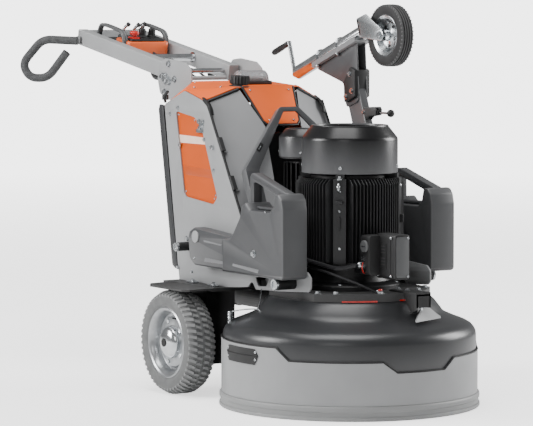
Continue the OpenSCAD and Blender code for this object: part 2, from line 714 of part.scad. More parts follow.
module jockey_rim() color(zinc) jockey_wheel_place() rotate_extrude($fn = 96) polygon([
    [jockey_axle_r + run_gap, -30], [18, -30], [18, -6], [44, -4], [54, -18], [jockey_rim_r, -jockey_w / 2 + 4],
    [jockey_rim_r, jockey_w / 2 - 4], [54, 18], [44, 4], [18, 6], [18, 30], [jockey_axle_r + run_gap, 30]
]);

module jockey_crank() color(zinc) placed() along_tube() {
    translate([0, 22, 0]) rotate([90, 0, 0]) cylinder(r = 6, h = 40);
    box([-7, 14, -7], [7, 22, crank_throw + 7]);
    translate([0, 22 + crank_len, crank_throw]) rotate([90, 0, 0]) cylinder(r = 11, h = crank_len);
}

module lock_knob() color(black) placed() translate([jockey_x, 64, 940]) rotate([-90, 0, 0]) {
    cylinder(r = 4, h = 116);
    sphere(r = 13, $fn = 32);
}

// ---------------------------------------------------------------- handle

arm_out = arm_span / 2;

module handle_frame() color(light_grey) placed() difference() {
    along_arm() {
        both_sides() box([arm_out - arm_w, 0, -arm_h], [arm_out, arm_len, 0]);
        box([-arm_out + arm_w, arm_len - 6, -arm_h], [arm_out - arm_w, arm_len, -2]);
        translate([-arm_out + arm_w, 250, -20]) rotate([0, 90, 0]) cylinder(r = 13, h = 2 * (arm_out - arm_w));
        box([-arm_out + arm_w, 400, -48], [arm_out - arm_w, 640, -43]);
    }
    x_cylinder(handle_pin_r + run_gap, -arm_out - 1, arm_out + 1, handle_pin.x, handle_pin.y);
}

module control_box() color(orange) placed() along_arm() difference() {
    union() {
        box([-84, 408, -43], [84, 512, 6]);
        box([-66, 420, 6], [66, 500, 14]);
    }
    translate([-44, 446, 4]) cylinder(r = 10.4, h = 11);
}

module estop_button() color([0.75, 0.08, 0.06]) placed() along_arm() translate([-44, 446, 14.3]) {
    cylinder(r = 10, h = 14);
    translate([0, 0, 12]) cylinder(r = 17, h = 12);
}

module speed_knob() color(foam) placed() along_arm() translate([0, 466, 14.3]) cylinder(r = 13, h = 30);
module mode_knob() color(foam) placed() along_arm() translate([40, 466, 14.3]) cylinder(r = 13, h = 30);

module grips() color(foam) placed() both_sides()
    swept_tube(
        rounded_path([for (p = grip_path) [
            grip_start.x + p.x * sin(grip_splay), grip_start.y + p.x * cos(grip_splay), p.y
        ]], grip_bend, 5),
        grip_r, [cos(grip_splay), -sin(grip_splay), 0], 12);

// ---------------------------------------------------------------- the nodes

base_plate();
head_cover();
front_bracket();
gusset_plate();
bearing_housing();
motor_body();
motor_fan_cover();
terminal_box();
cable_glands();
small_motor_body();
small_fan_cover();
motor_cable();
sensor_cable();
side_plate_right();
side_plate_left();
inset_panels();
deck_plate();
gearboxes();
hose_port();
top_cover();
front_panel();
front_shield();
electronics_box();
rear_panel();
beacon_base();
beacon_lens();
hinge_plates();
bumpers();
chassis_bolts();
skirt_band();
skirt_lip();
skirt_holds();
planetary_disc();
grinding_disc_1();
grinding_disc_2();
grinding_disc_3();
main_rotor();
main_fan();
small_rotor();
rear_door();
filler_cap();
tyre_right();
rim_right();
tyre_left();
rim_left();
weight_right();
weight_left();
jockey_post();
jockey_tube();
jockey_fork();
jockey_tyre();
jockey_rim();
jockey_crank();
lock_knob();
handle_frame();
control_box();
estop_button();
speed_knob();
mode_knob();
grips();
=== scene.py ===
"""The looks of a walk-behind planetary floor grinder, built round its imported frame.

Outlines and places are in millimetres about the grinding head's axis, where it meets the
floor. Y runs back towards the operator and -X is the machine's right-hand side.
"""

import math

import bmesh
import bpy
from bpy.props import FloatProperty, FloatVectorProperty, IntProperty, PointerProperty
from mathutils import Matrix, Vector


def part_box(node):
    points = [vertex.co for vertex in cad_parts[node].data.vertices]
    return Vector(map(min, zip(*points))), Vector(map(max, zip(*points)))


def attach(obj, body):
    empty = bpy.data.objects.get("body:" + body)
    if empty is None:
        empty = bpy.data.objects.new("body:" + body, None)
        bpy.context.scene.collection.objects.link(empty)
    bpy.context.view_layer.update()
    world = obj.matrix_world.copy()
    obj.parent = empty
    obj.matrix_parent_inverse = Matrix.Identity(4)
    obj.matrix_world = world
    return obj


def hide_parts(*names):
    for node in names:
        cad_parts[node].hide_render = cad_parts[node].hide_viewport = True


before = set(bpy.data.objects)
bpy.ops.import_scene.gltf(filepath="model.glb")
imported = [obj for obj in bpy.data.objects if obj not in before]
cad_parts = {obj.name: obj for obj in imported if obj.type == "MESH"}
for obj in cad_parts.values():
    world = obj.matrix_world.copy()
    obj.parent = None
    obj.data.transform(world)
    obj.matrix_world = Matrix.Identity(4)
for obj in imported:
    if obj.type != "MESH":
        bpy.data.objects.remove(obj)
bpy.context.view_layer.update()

bl_info = {
    "name": "Floor grinder looks",
    "version": (1, 0, 0),
    "blender": (4, 5, 0),
    "location": "3D View > Sidebar > Grinder",
    "description": "Builds the visible pieces, finishes and studio of a planetary floor grinder",
    "category": "Object",
}

MM = 0.001
LIP_LOW, LIP_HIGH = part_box("skirt_lip")
HEAD = Matrix.Translation((0, (LIP_LOW.y + LIP_HIGH.y) / 2, 0)) @ Matrix.Scale(MM, 4)


def linear(hex_colour):
    """An sRGB hex colour as linear red, green and blue."""
    parts = [int(hex_colour[i:i + 2], 16) / 255 for i in (1, 3, 5)]
    return tuple(c / 12.92 if c < 0.04045 else ((c + 0.055) / 1.055) ** 2.4 for c in parts)


# ---------------------------------------------------------------- what a user would change

def colour(name, hex_colour):
    return FloatVectorProperty(
        name=name, description=f"Colour of the {name.lower()}", subtype="COLOR",
        size=3, min=0, max=1, default=linear(hex_colour))


class GrinderColours(bpy.types.PropertyGroup):
    """Colours of the machine's finishes."""
    light_coat: colour("Light grey coat", "#9B9C9D")
    mid_coat: colour("Mid grey coat", "#77787A")
    dark_coat: colour("Dark grey coat", "#4C4D4F")
    black_coat: colour("Black coat", "#0A0A0B")
    orange: colour("Orange covers", "#F2620A")
    cover: colour("Head cover", "#303133")
    weight: colour("Weights", "#424345")
    tyre: colour("Rear tyres", "#6C6D6D")
    small_tyre: colour("Jockey tyre", "#242425")
    lip: colour("Floor lip", "#919292")


class GrinderSizes(bpy.types.PropertyGroup):
    """Sizes of the fine detail that the frame doesn't hold."""
    trim: FloatProperty(
        name="Edge trim", description="Thickness of the rubber trim on the skirt's band",
        default=6.0, min=3.0, max=9.0, subtype="UNSIGNED")
    fin: FloatProperty(
        name="Fin thickness", description="Thickness of the main motor's cooling fins",
        default=3.6, min=2.0, max=5.0, subtype="UNSIGNED")
    lug: FloatProperty(
        name="Tread depth", description="Depth of the lugs on the rear tyres",
        default=6.0, min=2.0, max=8.0, subtype="UNSIGNED")
    lugs: IntProperty(
        name="Lugs", description="Number of lugs round a rear tyre", default=52, min=30, max=70)
    grille_gap: FloatProperty(
        name="Grille gap", description="Distance between the rings of a fan grille",
        default=9.0, min=6.0, max=16.0, subtype="UNSIGNED")


# ---------------------------------------------------------------- materials

def add(tree, kind, settings=None, links=None):
    """A node with its settings, by property or socket name, and its links, by socket name."""
    node = tree.nodes.new(kind)
    for key, value in (settings or {}).items():
        if hasattr(node, key):
            setattr(node, key, value)
        else:
            node.inputs[key].default_value = value
    for key, output in (links or {}).items():
        tree.links.new(output, node.inputs[key])
    return node


def surface(name, base, shade, patch_mm, grain_mm, bump_mm, rough, spread=0.06, edge=None, **shader):
    """A finish: base colour drifting to shade over patches, a grain that shows as bump, uneven
    gloss, and, where edge is given, that colour rubbed along the convex edges."""
    made = bpy.data.materials.get(name)
    if made:
        return made
    made = bpy.data.materials.new(name)
    made.use_nodes = True
    tree = made.node_tree
    tree.nodes.clear()
    place = add(tree, "ShaderNodeTexCoord").outputs["Object"]
    patches = add(tree, "ShaderNodeTexNoise", {"Scale": 1 / (patch_mm * MM), "Detail": 3.0},
                  {"Vector": place})
    grain = add(tree, "ShaderNodeTexNoise", {"Scale": 1 / (grain_mm * MM), "Detail": 2.0}, {"Vector": place})
    tone = add(tree, "ShaderNodeMix", {"data_type": "RGBA"})
    tone.inputs[6].default_value = (*base, 1)
    tone.inputs[7].default_value = (*shade, 1)
    band = add(tree, "ShaderNodeMapRange", {"From Min": 0.35, "From Max": 0.7},
               {"Value": patches.outputs["Fac"]})
    tree.links.new(band.outputs["Result"], tone.inputs["Factor"])
    top = tone.outputs[2]
    if edge:
        rim = add(tree, "ShaderNodeNewGeometry")
        worn = add(
            tree, "ShaderNodeMapRange", {"From Min": 0.53, "From Max": 0.62, "To Max": 0.55},
            {"Value": rim.outputs["Pointiness"]})
        rubbed = add(tree, "ShaderNodeMix", {"data_type": "RGBA"})
        tree.links.new(top, rubbed.inputs[6])
        rubbed.inputs[7].default_value = (*edge, 1)
        tree.links.new(worn.outputs["Result"], rubbed.inputs["Factor"])
        top = rubbed.outputs[2]
    gloss = add(
        tree, "ShaderNodeMapRange", {"To Min": rough - spread, "To Max": rough + spread},
        {"Value": patches.outputs["Fac"]})
    relief = add(
        tree, "ShaderNodeBump", {"Strength": 0.6, "Distance": bump_mm * MM},
        {"Height": grain.outputs["Fac"]})
    body = add(
        tree, "ShaderNodeBsdfPrincipled", shader,
        {"Base Color": top, "Roughness": gloss.outputs["Result"], "Normal": relief.outputs["Normal"]})
    add(tree, "ShaderNodeOutputMaterial", None, {"Surface": body.outputs["BSDF"]})
    return made


def paled(rgb, share):
    return tuple(c + (1 - c) * share for c in rgb)


def deeper(rgb, share):
    return tuple(c * (1 - share) for c in rgb)


def powder_coat(name, rgb, rough=0.42):
    # Powder coat on sheet steel: an even satin skin with a fine orange peel of about 2 mm.
    return surface(name, rgb, deeper(rgb, 0.10), 160, 2.2, 0.05, rough, 0.05, paled(rgb, 0.25))


def light_coat():
    return powder_coat("powder_coat_light", colours().light_coat, 0.40)


def mid_coat():
    return powder_coat("powder_coat_mid", colours().mid_coat, 0.38)


def dark_coat():
    return powder_coat("powder_coat_dark", colours().dark_coat, 0.36)


def black_coat():
    # The same coat in black, duller, as road dust settles into it.
    rgb = colours().black_coat
    return surface("powder_coat_black", rgb, deeper(rgb, 0.2), 160, 2.2, 0.05, 0.5, 0.05,
                   paled(rgb, 0.1), **{"Specular IOR Level": 0.3})


def gloss_orange():
    # Gel-coated glass fibre: a deep, clean colour under a clear glossy skin.
    rgb = colours().orange
    return surface("gelcoat_orange", rgb, deeper(rgb, 0.08), 220, 6, 0.02, 0.5, 0.04,
                   paled(rgb, 0.1), **{"Specular IOR Level": 0.3})


def inset_orange():
    # Orange powder coat on sheet steel: drier than the moulded covers, with a fine orange peel.
    rgb = deeper(colours().orange, 0.3)
    return surface("powder_coat_orange", rgb, deeper(rgb, 0.06), 200, 2.2, 0.03, 0.6, 0.04,
                   paled(rgb, 0.08), **{"Specular IOR Level": 0.2})


def motor_enamel():
    # Black enamel over sand-cast aluminium: the cast skin of about 1.5 mm grain shows through.
    return surface("cast_enamel_black", linear("#0E0E0F"), linear("#08080A"), 60, 1.6, 0.18, 0.42, 0.08,
                   linear("#3A3B3D"))


def deep_drawn_black():
    # Enamelled deep-drawn steel: smooth, so it carries long soft highlights.
    return surface("drawn_steel_black", linear("#0D0D0F"), linear("#09090B"), 140, 3, 0.03, 0.30, 0.05,
                   linear("#8C8D8F"))


def moulded_cover():
    # Rotation-moulded polyethylene: satin, with a faint flow in the colour.
    rgb = colours().cover
    return surface("moulded_polyethylene_grey", rgb, deeper(rgb, 0.14), 130, 2.5, 0.06, 0.33, 0.05,
                   paled(rgb, 0.18))


def black_nylon():
    # Injection-moulded glass-filled nylon: dull black with a fine spark-eroded grain.
    return surface("moulded_nylon_black", linear("#111112"), linear("#0C0C0D"), 50, 0.9, 0.05, 0.52, 0.06,
                   linear("#4A4A4B"))


def grey_nylon():
    # The same moulding in grey: a little glossier, with pale scuffed edges.
    return surface("moulded_nylon_grey", linear("#4C4D4E"), linear("#424344"), 50, 0.9, 0.05, 0.45, 0.06,
                   linear("#9A9B9C"))


def orange_abs():
    # Injection-moulded ABS: satin colour all through, lighter along the edges.
    rgb = colours().orange
    return surface("moulded_abs_orange", rgb, deeper(rgb, 0.10), 60, 1.0, 0.03, 0.38, 0.05, paled(rgb, 0.25))


def red_abs():
    # Polished ABS: the mould's gloss gives the button a hard, wet-looking highlight.
    return surface("moulded_abs_red", linear("#D4231A"), linear("#B01A12"), 20, 0.8, 0.02, 0.2, 0.04,
                   **{"Coat Weight": 0.6, "Coat Roughness": 0.05})


def zinc_plate():
    # Bright zinc plate: bluish white metal, cloudy where the bath ran.
    return surface("zinc_plate", linear("#D5D8DA"), linear("#B3B7BA"), 14, 0.8, 0.02, 0.26, 0.08,
                   Metallic=1.0)


def chrome_tube():
    # Chromed tube: near mirror with faint drawing lines.
    return surface("chrome_plate", linear("#DCDEE0"), linear("#C4C7C9"), 40, 1.2, 0.01, 0.17, 0.05,
                   Metallic=1.0)


def machined_steel():
    # Turned steel: a grey metal shine broken by fine tool marks.
    return surface("machined_steel", linear("#A9ABAD"), linear("#8E9092"), 30, 0.7, 0.03, 0.34, 0.07,
                   Metallic=1.0)


def rim_silver():
    # Silver lacquer on a pressed steel rim: metallic flake, satin.
    return surface("silver_lacquer", linear("#B4B6B8"), linear("#9A9C9E"), 40, 1.0, 0.03, 0.3, 0.06,
                   Metallic=0.85)


def painted_iron():
    # Grey paint on cast iron: the mould's sand leaves a soft 3 mm ripple and dull patches.
    rgb = colours().weight
    return surface("painted_cast_iron", rgb, deeper(rgb, 0.16), 90, 3.2, 0.16, 0.44, 0.07, paled(rgb, 0.35))


def tyre_rubber(name, rgb):
    # Vulcanised rubber: matt, dusty in the grooves, a little polished on top.
    return surface(name, rgb, deeper(rgb, 0.18), 25, 1.1, 0.07, 0.68, 0.08, paled(rgb, 0.18))


def rear_rubber():
    return tyre_rubber("tyre_rubber_grey", colours().tyre)


def jockey_rubber():
    return tyre_rubber("tyre_rubber_dark", colours().small_tyre)


def lip_rubber():
    # Moulded grey rubber: even in colour, satin where it is wiped along the floor.
    rgb = colours().lip
    return surface("moulded_rubber_lip", rgb, deeper(rgb, 0.08), 240, 1.1, 0.05, 0.5, 0.05, paled(rgb, 0.2))


def seal_rubber():
    return surface("extruded_rubber_black", linear("#141415"), linear("#0E0E0F"), 30, 0.8, 0.03, 0.55, 0.06)


def grip_foam():
    # Closed-cell foam sleeve: matt dark grey, pricked with cells of about 1 mm.
    return surface("closed_cell_foam", linear("#4C4D4E"), linear("#3B3C3D"), 18, 1.1, 0.22, 0.82, 0.05)


def cable_sheath():
    return surface("pvc_sheath_black", linear("#2C2C2E"), linear("#222224"), 25, 2.0, 0.03, 0.36, 0.06)


def clear_lens():
    made = bpy.data.materials.get("moulded_polycarbonate_clear")
    if made:
        return made
    # Moulded polycarbonate: clear with a slight smoke and a faint ripple from the mould.
    made = bpy.data.materials.new("moulded_polycarbonate_clear")
    made.use_nodes = True
    tree = made.node_tree
    tree.nodes.clear()
    place = add(tree, "ShaderNodeTexCoord").outputs["Object"]
    ripple = add(tree, "ShaderNodeTexNoise", {"Scale": 1 / (12 * MM)}, {"Vector": place})
    relief = add(tree, "ShaderNodeBump", {"Strength": 0.2, "Distance": 0.1 * MM},
                 {"Height": ripple.outputs["Fac"]})
    haze = add(tree, "ShaderNodeMapRange", {"To Min": 0.03, "To Max": 0.12},
               {"Value": ripple.outputs["Fac"]})
    body = add(
        tree, "ShaderNodeBsdfPrincipled",
        {"Base Color": (0.86, 0.88, 0.9, 1), "Transmission Weight": 0.85, "IOR": 1.58},
        {"Roughness": haze.outputs["Result"], "Normal": relief.outputs["Normal"]})
    add(tree, "ShaderNodeOutputMaterial", None, {"Surface": body.outputs["BSDF"]})
    return made


def colours():
    return bpy.context.scene.grinder_colours


def sizes():
    return bpy.context.scene.grinder_sizes


# ---------------------------------------------------------------- shapes

def shift(x, y, z):
    return Matrix.Translation((x, y, z))


def turn(degrees, axis):
    return Matrix.Rotation(math.radians(degrees), 4, axis)


def facing(point, direction):
    """A place at point whose Z axis looks along direction."""
    return Matrix.Translation(point) @ Vector(direction).to_track_quat("Z", "Y").to_matrix().to_4x4()


# A side view's place: its (u, v) are the machine's Y and Z, and its depth runs along X
SIDE = Matrix(((0, 0, 1, 0), (1, 0, 0, 0), (0, 1, 0, 0), (0, 0, 0, 1)))
TUBE = shift(205, 629, 1063) @ turn(-19.6, "X")
ARM = shift(0, 905, 1085) @ turn(10, "X")
HOOD = shift(0, 500, 1022) @ turn(3.12, "X")
POST = shift(205, 50, 435) @ turn(-21.1, "X")
ARCH = shift(0, 365, 958) @ turn(66, "X")
FLAP = shift(0, 500, 1022) @ turn(52.1, "X")
WHEEL_X, WHEEL_Y, WHEEL_Z = 356, 499, 174.5


def rounded(points, radius, steps=5):
    """An outline with each corner rounded: radius is one number, or one for each corner."""
    count = len(points)
    radii = radius if isinstance(radius, (list, tuple)) else [radius] * count
    made = []
    for i, (here, r) in enumerate(zip(points, radii)):
        here = Vector(here)
        back, ahead = Vector(points[i - 1]) - here, Vector(points[(i + 1) % count]) - here
        half = back.angle(ahead) / 2
        reach = min(r / math.tan(half), back.length * 0.48, ahead.length * 0.48)
        start, end = here + back.normalized() * reach, here + ahead.normalized() * reach
        for k in range(steps + 1):
            t = k / steps
            made.append(start * (1 - t) ** 2 + here * 2 * t * (1 - t) + end * t * t)
    return made


def smooth_path(points, steps=6):
    """A path through the points that turns gently at each."""
    points = [Vector(p) for p in points]
    ends = [points[0] * 2 - points[1]] + points + [points[-1] * 2 - points[-2]]
    made = []
    for a, b, c, d in zip(ends, ends[1:], ends[2:], ends[3:]):
        for k in range(steps):
            t = k / steps
            made.append(0.5 * (2 * b + (c - a) * t + (2 * a - 5 * b + 4 * c - d) * t * t
                               + (3 * b - a - 3 * c + d) * t ** 3))
    return made + [points[-1]]


class Shape:
    """A mesh put together from turned, cut and swept solids, in millimetres."""

    def __init__(self):
        self.mesh = bmesh.new()

    def solid(self, points, faces, place=Matrix.Identity(4)):
        corners = [self.mesh.verts.new(place @ Vector(p)) for p in points]
        for face in faces:
            self.mesh.faces.new([corners[i] for i in face])
        return self

    def lathe(self, profile, place=Matrix.Identity(4), steps=64, ring=False, start=0, sweep=360):
        """A profile of (radius, height) turned about Z. A ring's profile closes on itself."""
        points, rows = [], []
        whole = sweep == 360
        columns = steps if whole else steps + 1
        for r, z in profile:
            if r < 1e-6:
                rows.append([len(points)])
                points.append((0, 0, z))
                continue
            rows.append(list(range(len(points), len(points) + columns)))
            for k in range(columns):
                a = math.radians(start + sweep * k / steps)
                points.append((r * math.cos(a), r * math.sin(a), z))
        faces = []
        pairs = list(zip(rows, rows[1:])) + ([(rows[-1], rows[0])] if ring else [])
        for low, high in pairs:
            for k in range(steps):
                n = (k + 1) % columns
                if len(low) == len(high) == 1:
                    continue
                if len(low) == 1:
                    faces.append((low[0], high[n], high[k]))
                elif len(high) == 1:
                    faces.append((low[k], low[n], high[0]))
                else:
                    faces.append((low[k], low[n], high[n], high[k]))
        if not whole:
            faces.append([row[0] for row in rows])
            faces.append([row[-1] for row in reversed(rows)])
        return self.solid(points, faces, place)

    def block(self, low, high, place=Matrix.Identity(4)):
        points = [(x, y, z) for z in (low[2], high[2]) for y in (low[1], high[1]) for x in (low[0], high[0])]
        faces = [(0, 2, 3, 1), (4, 5, 7, 6), (0, 1, 5, 4), (2, 6, 7, 3), (0, 4, 6, 2), (1, 3, 7, 5)]
        return self.solid(points, faces, place)

    def slab(self, outlines, depth, place=Matrix.Identity(4), edge=1.0):
        """A plate cut to the first outline, with the other outlines as holes and softened edges."""
        curve = bpy.data.curves.new("outline", "CURVE")
        curve.dimensions, curve.fill_mode = "2D", "BOTH"
        for outline in outlines:
            spline = curve.splines.new("POLY")
            spline.points.add(len(outline) - 1)
            for knot, p in zip(spline.points, outline):
                knot.co = (p[0], p[1], 0, 1)
            spline.use_cyclic_u = True
        curve.extrude, curve.bevel_depth = depth / 2 - edge, edge
        curve.offset, curve.bevel_resolution = -edge, 1
        holder = bpy.data.objects.new("outline", curve)
        mesh = bpy.data.meshes.new_from_object(holder)
        mesh.transform(place @ shift(0, 0, depth / 2))
        self.mesh.from_mesh(mesh)
        bpy.data.objects.remove(holder)
        bpy.data.curves.remove(curve)
        bpy.data.meshes.remove(mesh)
        return self

    def tube(self, path, radius, steps=12, closed=False, place=Matrix.Identity(4), flat=1.0):
        """A round bar along a path. A flat below 1 squashes its section."""
        path = [Vector(p) for p in path]
        count = len(path)
        points, across = [], None
        for i, p in enumerate(path):
            ahead = path[(i + 1) % count] if closed or i < count - 1 else p
            back = path[i - 1] if closed or i else p
            along = (ahead - back).normalized()
            if across is None:
                across = along.cross(Vector((0.31, 0.22, 0.93))).normalized()
            across = (across - along * across.dot(along)).normalized()
            up = along.cross(across)
            for k in range(steps):
                a = 2 * math.pi * k / steps
                points.append(p + radius * (math.cos(a) * across + flat * math.sin(a) * up))
        faces = []
        for i in range(count if closed else count - 1):
            j = (i + 1) % count
            for k in range(steps):
                n = (k + 1) % steps
                faces.append((i * steps + k, i * steps + n, j * steps + n, j * steps + k))
        if not closed:
            faces.append(list(reversed(range(steps))))
            faces.append(list(range((count - 1) * steps, count * steps)))
        return self.solid(points, faces, place)

    def hex_bolt(self, point, direction, r=9, h=7, washer=True):
        place = facing(point, direction)
        if washer:
            self.lathe([(0, 0), (r * 1.35, 0), (r * 1.35, r * 0.18), (0, r * 0.18)], place, 28)
        lift = r * 0.18 if washer else 0
        profile = [(0, lift), (r, lift), (r, lift + h * 0.8), (r * 0.84, lift + h), (0, lift + h)]
        return self.lathe(profile, place, 6)

    def cap_screw(self, point, direction, r=5, h=4):
        """A domed screw head with a round socket."""
        profile = [(0, 0), (r, 0), (r, h * 0.45), (r * 0.85, h * 0.85), (r * 0.55, h), (r * 0.42, h * 0.96),
                   (r * 0.38, h * 0.5), (0, h * 0.5)]
        return self.lathe(profile, facing(point, direction), 24)

    def piece(self, name, material, body, slot, replaces=(), edge=0.0, sharp=34, round_up=0):
        """Ends the shape: welds it, moves it into the frame and lets it ride on its body."""
        bmesh.ops.remove_doubles(self.mesh, verts=self.mesh.verts, dist=0.001)
        bmesh.ops.recalc_face_normals(self.mesh, faces=self.mesh.faces)
        self.mesh.transform(HEAD)
        data = bpy.data.meshes.new(name)
        self.mesh.to_mesh(data)
        self.mesh.free()
        data.polygons.foreach_set("use_smooth", [True] * len(data.polygons))
        data.set_sharp_from_angle(angle=math.radians(sharp))
        data.materials.append(material)
        made = bpy.data.objects.new(name, data)
        bpy.context.scene.collection.objects.link(made)
        if edge:
            soft = made.modifiers.new("soft edges", "BEVEL")
            soft.width, soft.segments, soft.limit_method = edge * MM, 2, "ANGLE"
            soft.angle_limit, soft.harden_normals = math.radians(sharp), True
        if round_up:
            more = made.modifiers.new("rounding", "SUBSURF")
            more.levels = more.render_levels = round_up
        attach(made, body)
        if replaces:
            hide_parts(*replaces)
        return made


def both_sides(name, build, material, body, slot, replaces=None, edge=0.0):
    """A piece and its mirror image. build(side) draws one, and body and replaces may hold {}."""
    for side, word in ((-1, "right"), (1, "left")):
        shape = build(side)
        hidden = [r.format(word) for r in replaces] if replaces else ()
        shape.piece(f"{name}_{word}", material, body.format(word), slot, hidden, edge)


def side_at(side, x_in, depth):
    """A side view's place for a plate from x_in outwards on either side of the machine."""
    return shift(x_in if side > 0 else -x_in - depth, 0, 0) @ SIDE


# ---------------------------------------------------------------- the dust skirt

BAND_R = 418
BAND_STEPS = [(0, 150), (12.5, 150), (19, 184), (61, 184), (67.5, 223), (180, 223)]


def band_top(degrees):
    """Height of the band's top edge at an angle from the front."""
    a = abs((degrees + 180) % 360 - 180)
    for (a0, z0), (a1, z1) in zip(BAND_STEPS, BAND_STEPS[1:]):
        if a <= a1:
            return z0 + (z1 - z0) * (a - a0) / (a1 - a0)
    return BAND_STEPS[-1][1]


def band_angles():
    breaks = [s * a for a, _ in BAND_STEPS[1:-1] for s in (-1, 1)]
    return sorted(set([float(a) for a in range(-180, 180, 2)] + breaks))


def on_band(degrees, r, z):
    a = math.radians(degrees)
    return Vector((r * math.sin(a), -r * math.cos(a), z))


class GRINDER_OT_skirt(bpy.types.Operator):
    """Steel band, rubber trim, floor lip and hand-holds of the floating dust skirt"""
    bl_idname = "grinder.skirt"
    bl_label = "Dust skirt"

    def execute(self, context):
        angles = band_angles()
        rows = [(BAND_R, None), (BAND_R - 4, None), (BAND_R - 4, 46.5), (BAND_R, 46.5)]
        points = [on_band(a, r, band_top(a) if z is None else z) for a in angles for r, z in rows]
        count = len(angles)
        faces = [(4 * i + k, 4 * i + (k + 1) % 4, 4 * ((i + 1) % count) + (k + 1) % 4,
                  4 * ((i + 1) % count) + k)
                 for i in range(count) for k in range(4)]
        Shape().solid(points, faces).piece(
            "skirt_steel_band", light_coat(), "skirt", "grey_paint", ["skirt_band"], 0.8, 50)
        path = [on_band(a, BAND_R - 1.6, band_top(a)) for a in angles]
        Shape().tube(path, sizes().trim / 2, 8, True).piece("skirt_edge_trim", seal_rubber(),
                                                            "skirt", "rubber")
        lip = [(407, 0), (423, 0), (425, 2.5), (425, 9), (424, 11), (421, 12.5), (421, 27), (424, 29.5),
               (424.4, 32), (424.4, 40), (423, 43.5), (420.5, 46), (407, 46.5)]
        Shape().lathe(lip, steps=192, ring=True).piece(
            "skirt_floor_lip", lip_rubber(), "skirt", "lip_rubber", ["skirt_lip"], 0, 28)
        self.hand_holds()
        return {"FINISHED"}

    def hand_holds(self):
        plates, screws = Shape(), Shape()
        half, columns = 92, 24
        for side in (-1, 1):
            points, faces = [], []
            for i in range(columns + 1):
                u = -half + 2 * half * i / columns
                high = 212 - max(0, abs(u) - 76) * 20 / 16
                low = 162 + max(0, abs(u) - 80) * 30 / 12
                middle = min(max(189, low + 0.5), high - 0.5)
                a = side * 90 + math.degrees(u / BAND_R)
                for r, z in ((3.4, high), (1.6, middle + 1), (4.2, middle), (3.4, low)):
                    points.append(on_band(a, BAND_R + r, z))
                for z in (low, high):
                    points.append(on_band(a, BAND_R - 0.5, z))
            for i in range(columns):
                for k in range(6):
                    faces.append((6 * i + k, 6 * i + (k + 1) % 6, 6 * i + 6 + (k + 1) % 6, 6 * i + 6 + k))
            faces += [tuple(range(6)), tuple(6 * columns + k for k in reversed(range(6)))]
            plates.solid(points, faces)
            for u in (-78, 78):
                for z in (178, 202):
                    a = side * 90 + math.degrees((u + math.copysign((190 - z) * 0.3, u)) / BAND_R)
                    screws.cap_screw(on_band(a, BAND_R + 2, z), on_band(a, 1, 0), 4.4, 3)
        plates.piece("skirt_hand_holds", black_nylon(), "skirt", "black_plastic", ["skirt_holds"], 0.7)
        screws.piece("skirt_hand_hold_screws", zinc_plate(), "skirt", "zinc")


# ---------------------------------------------------------------- the grinding head

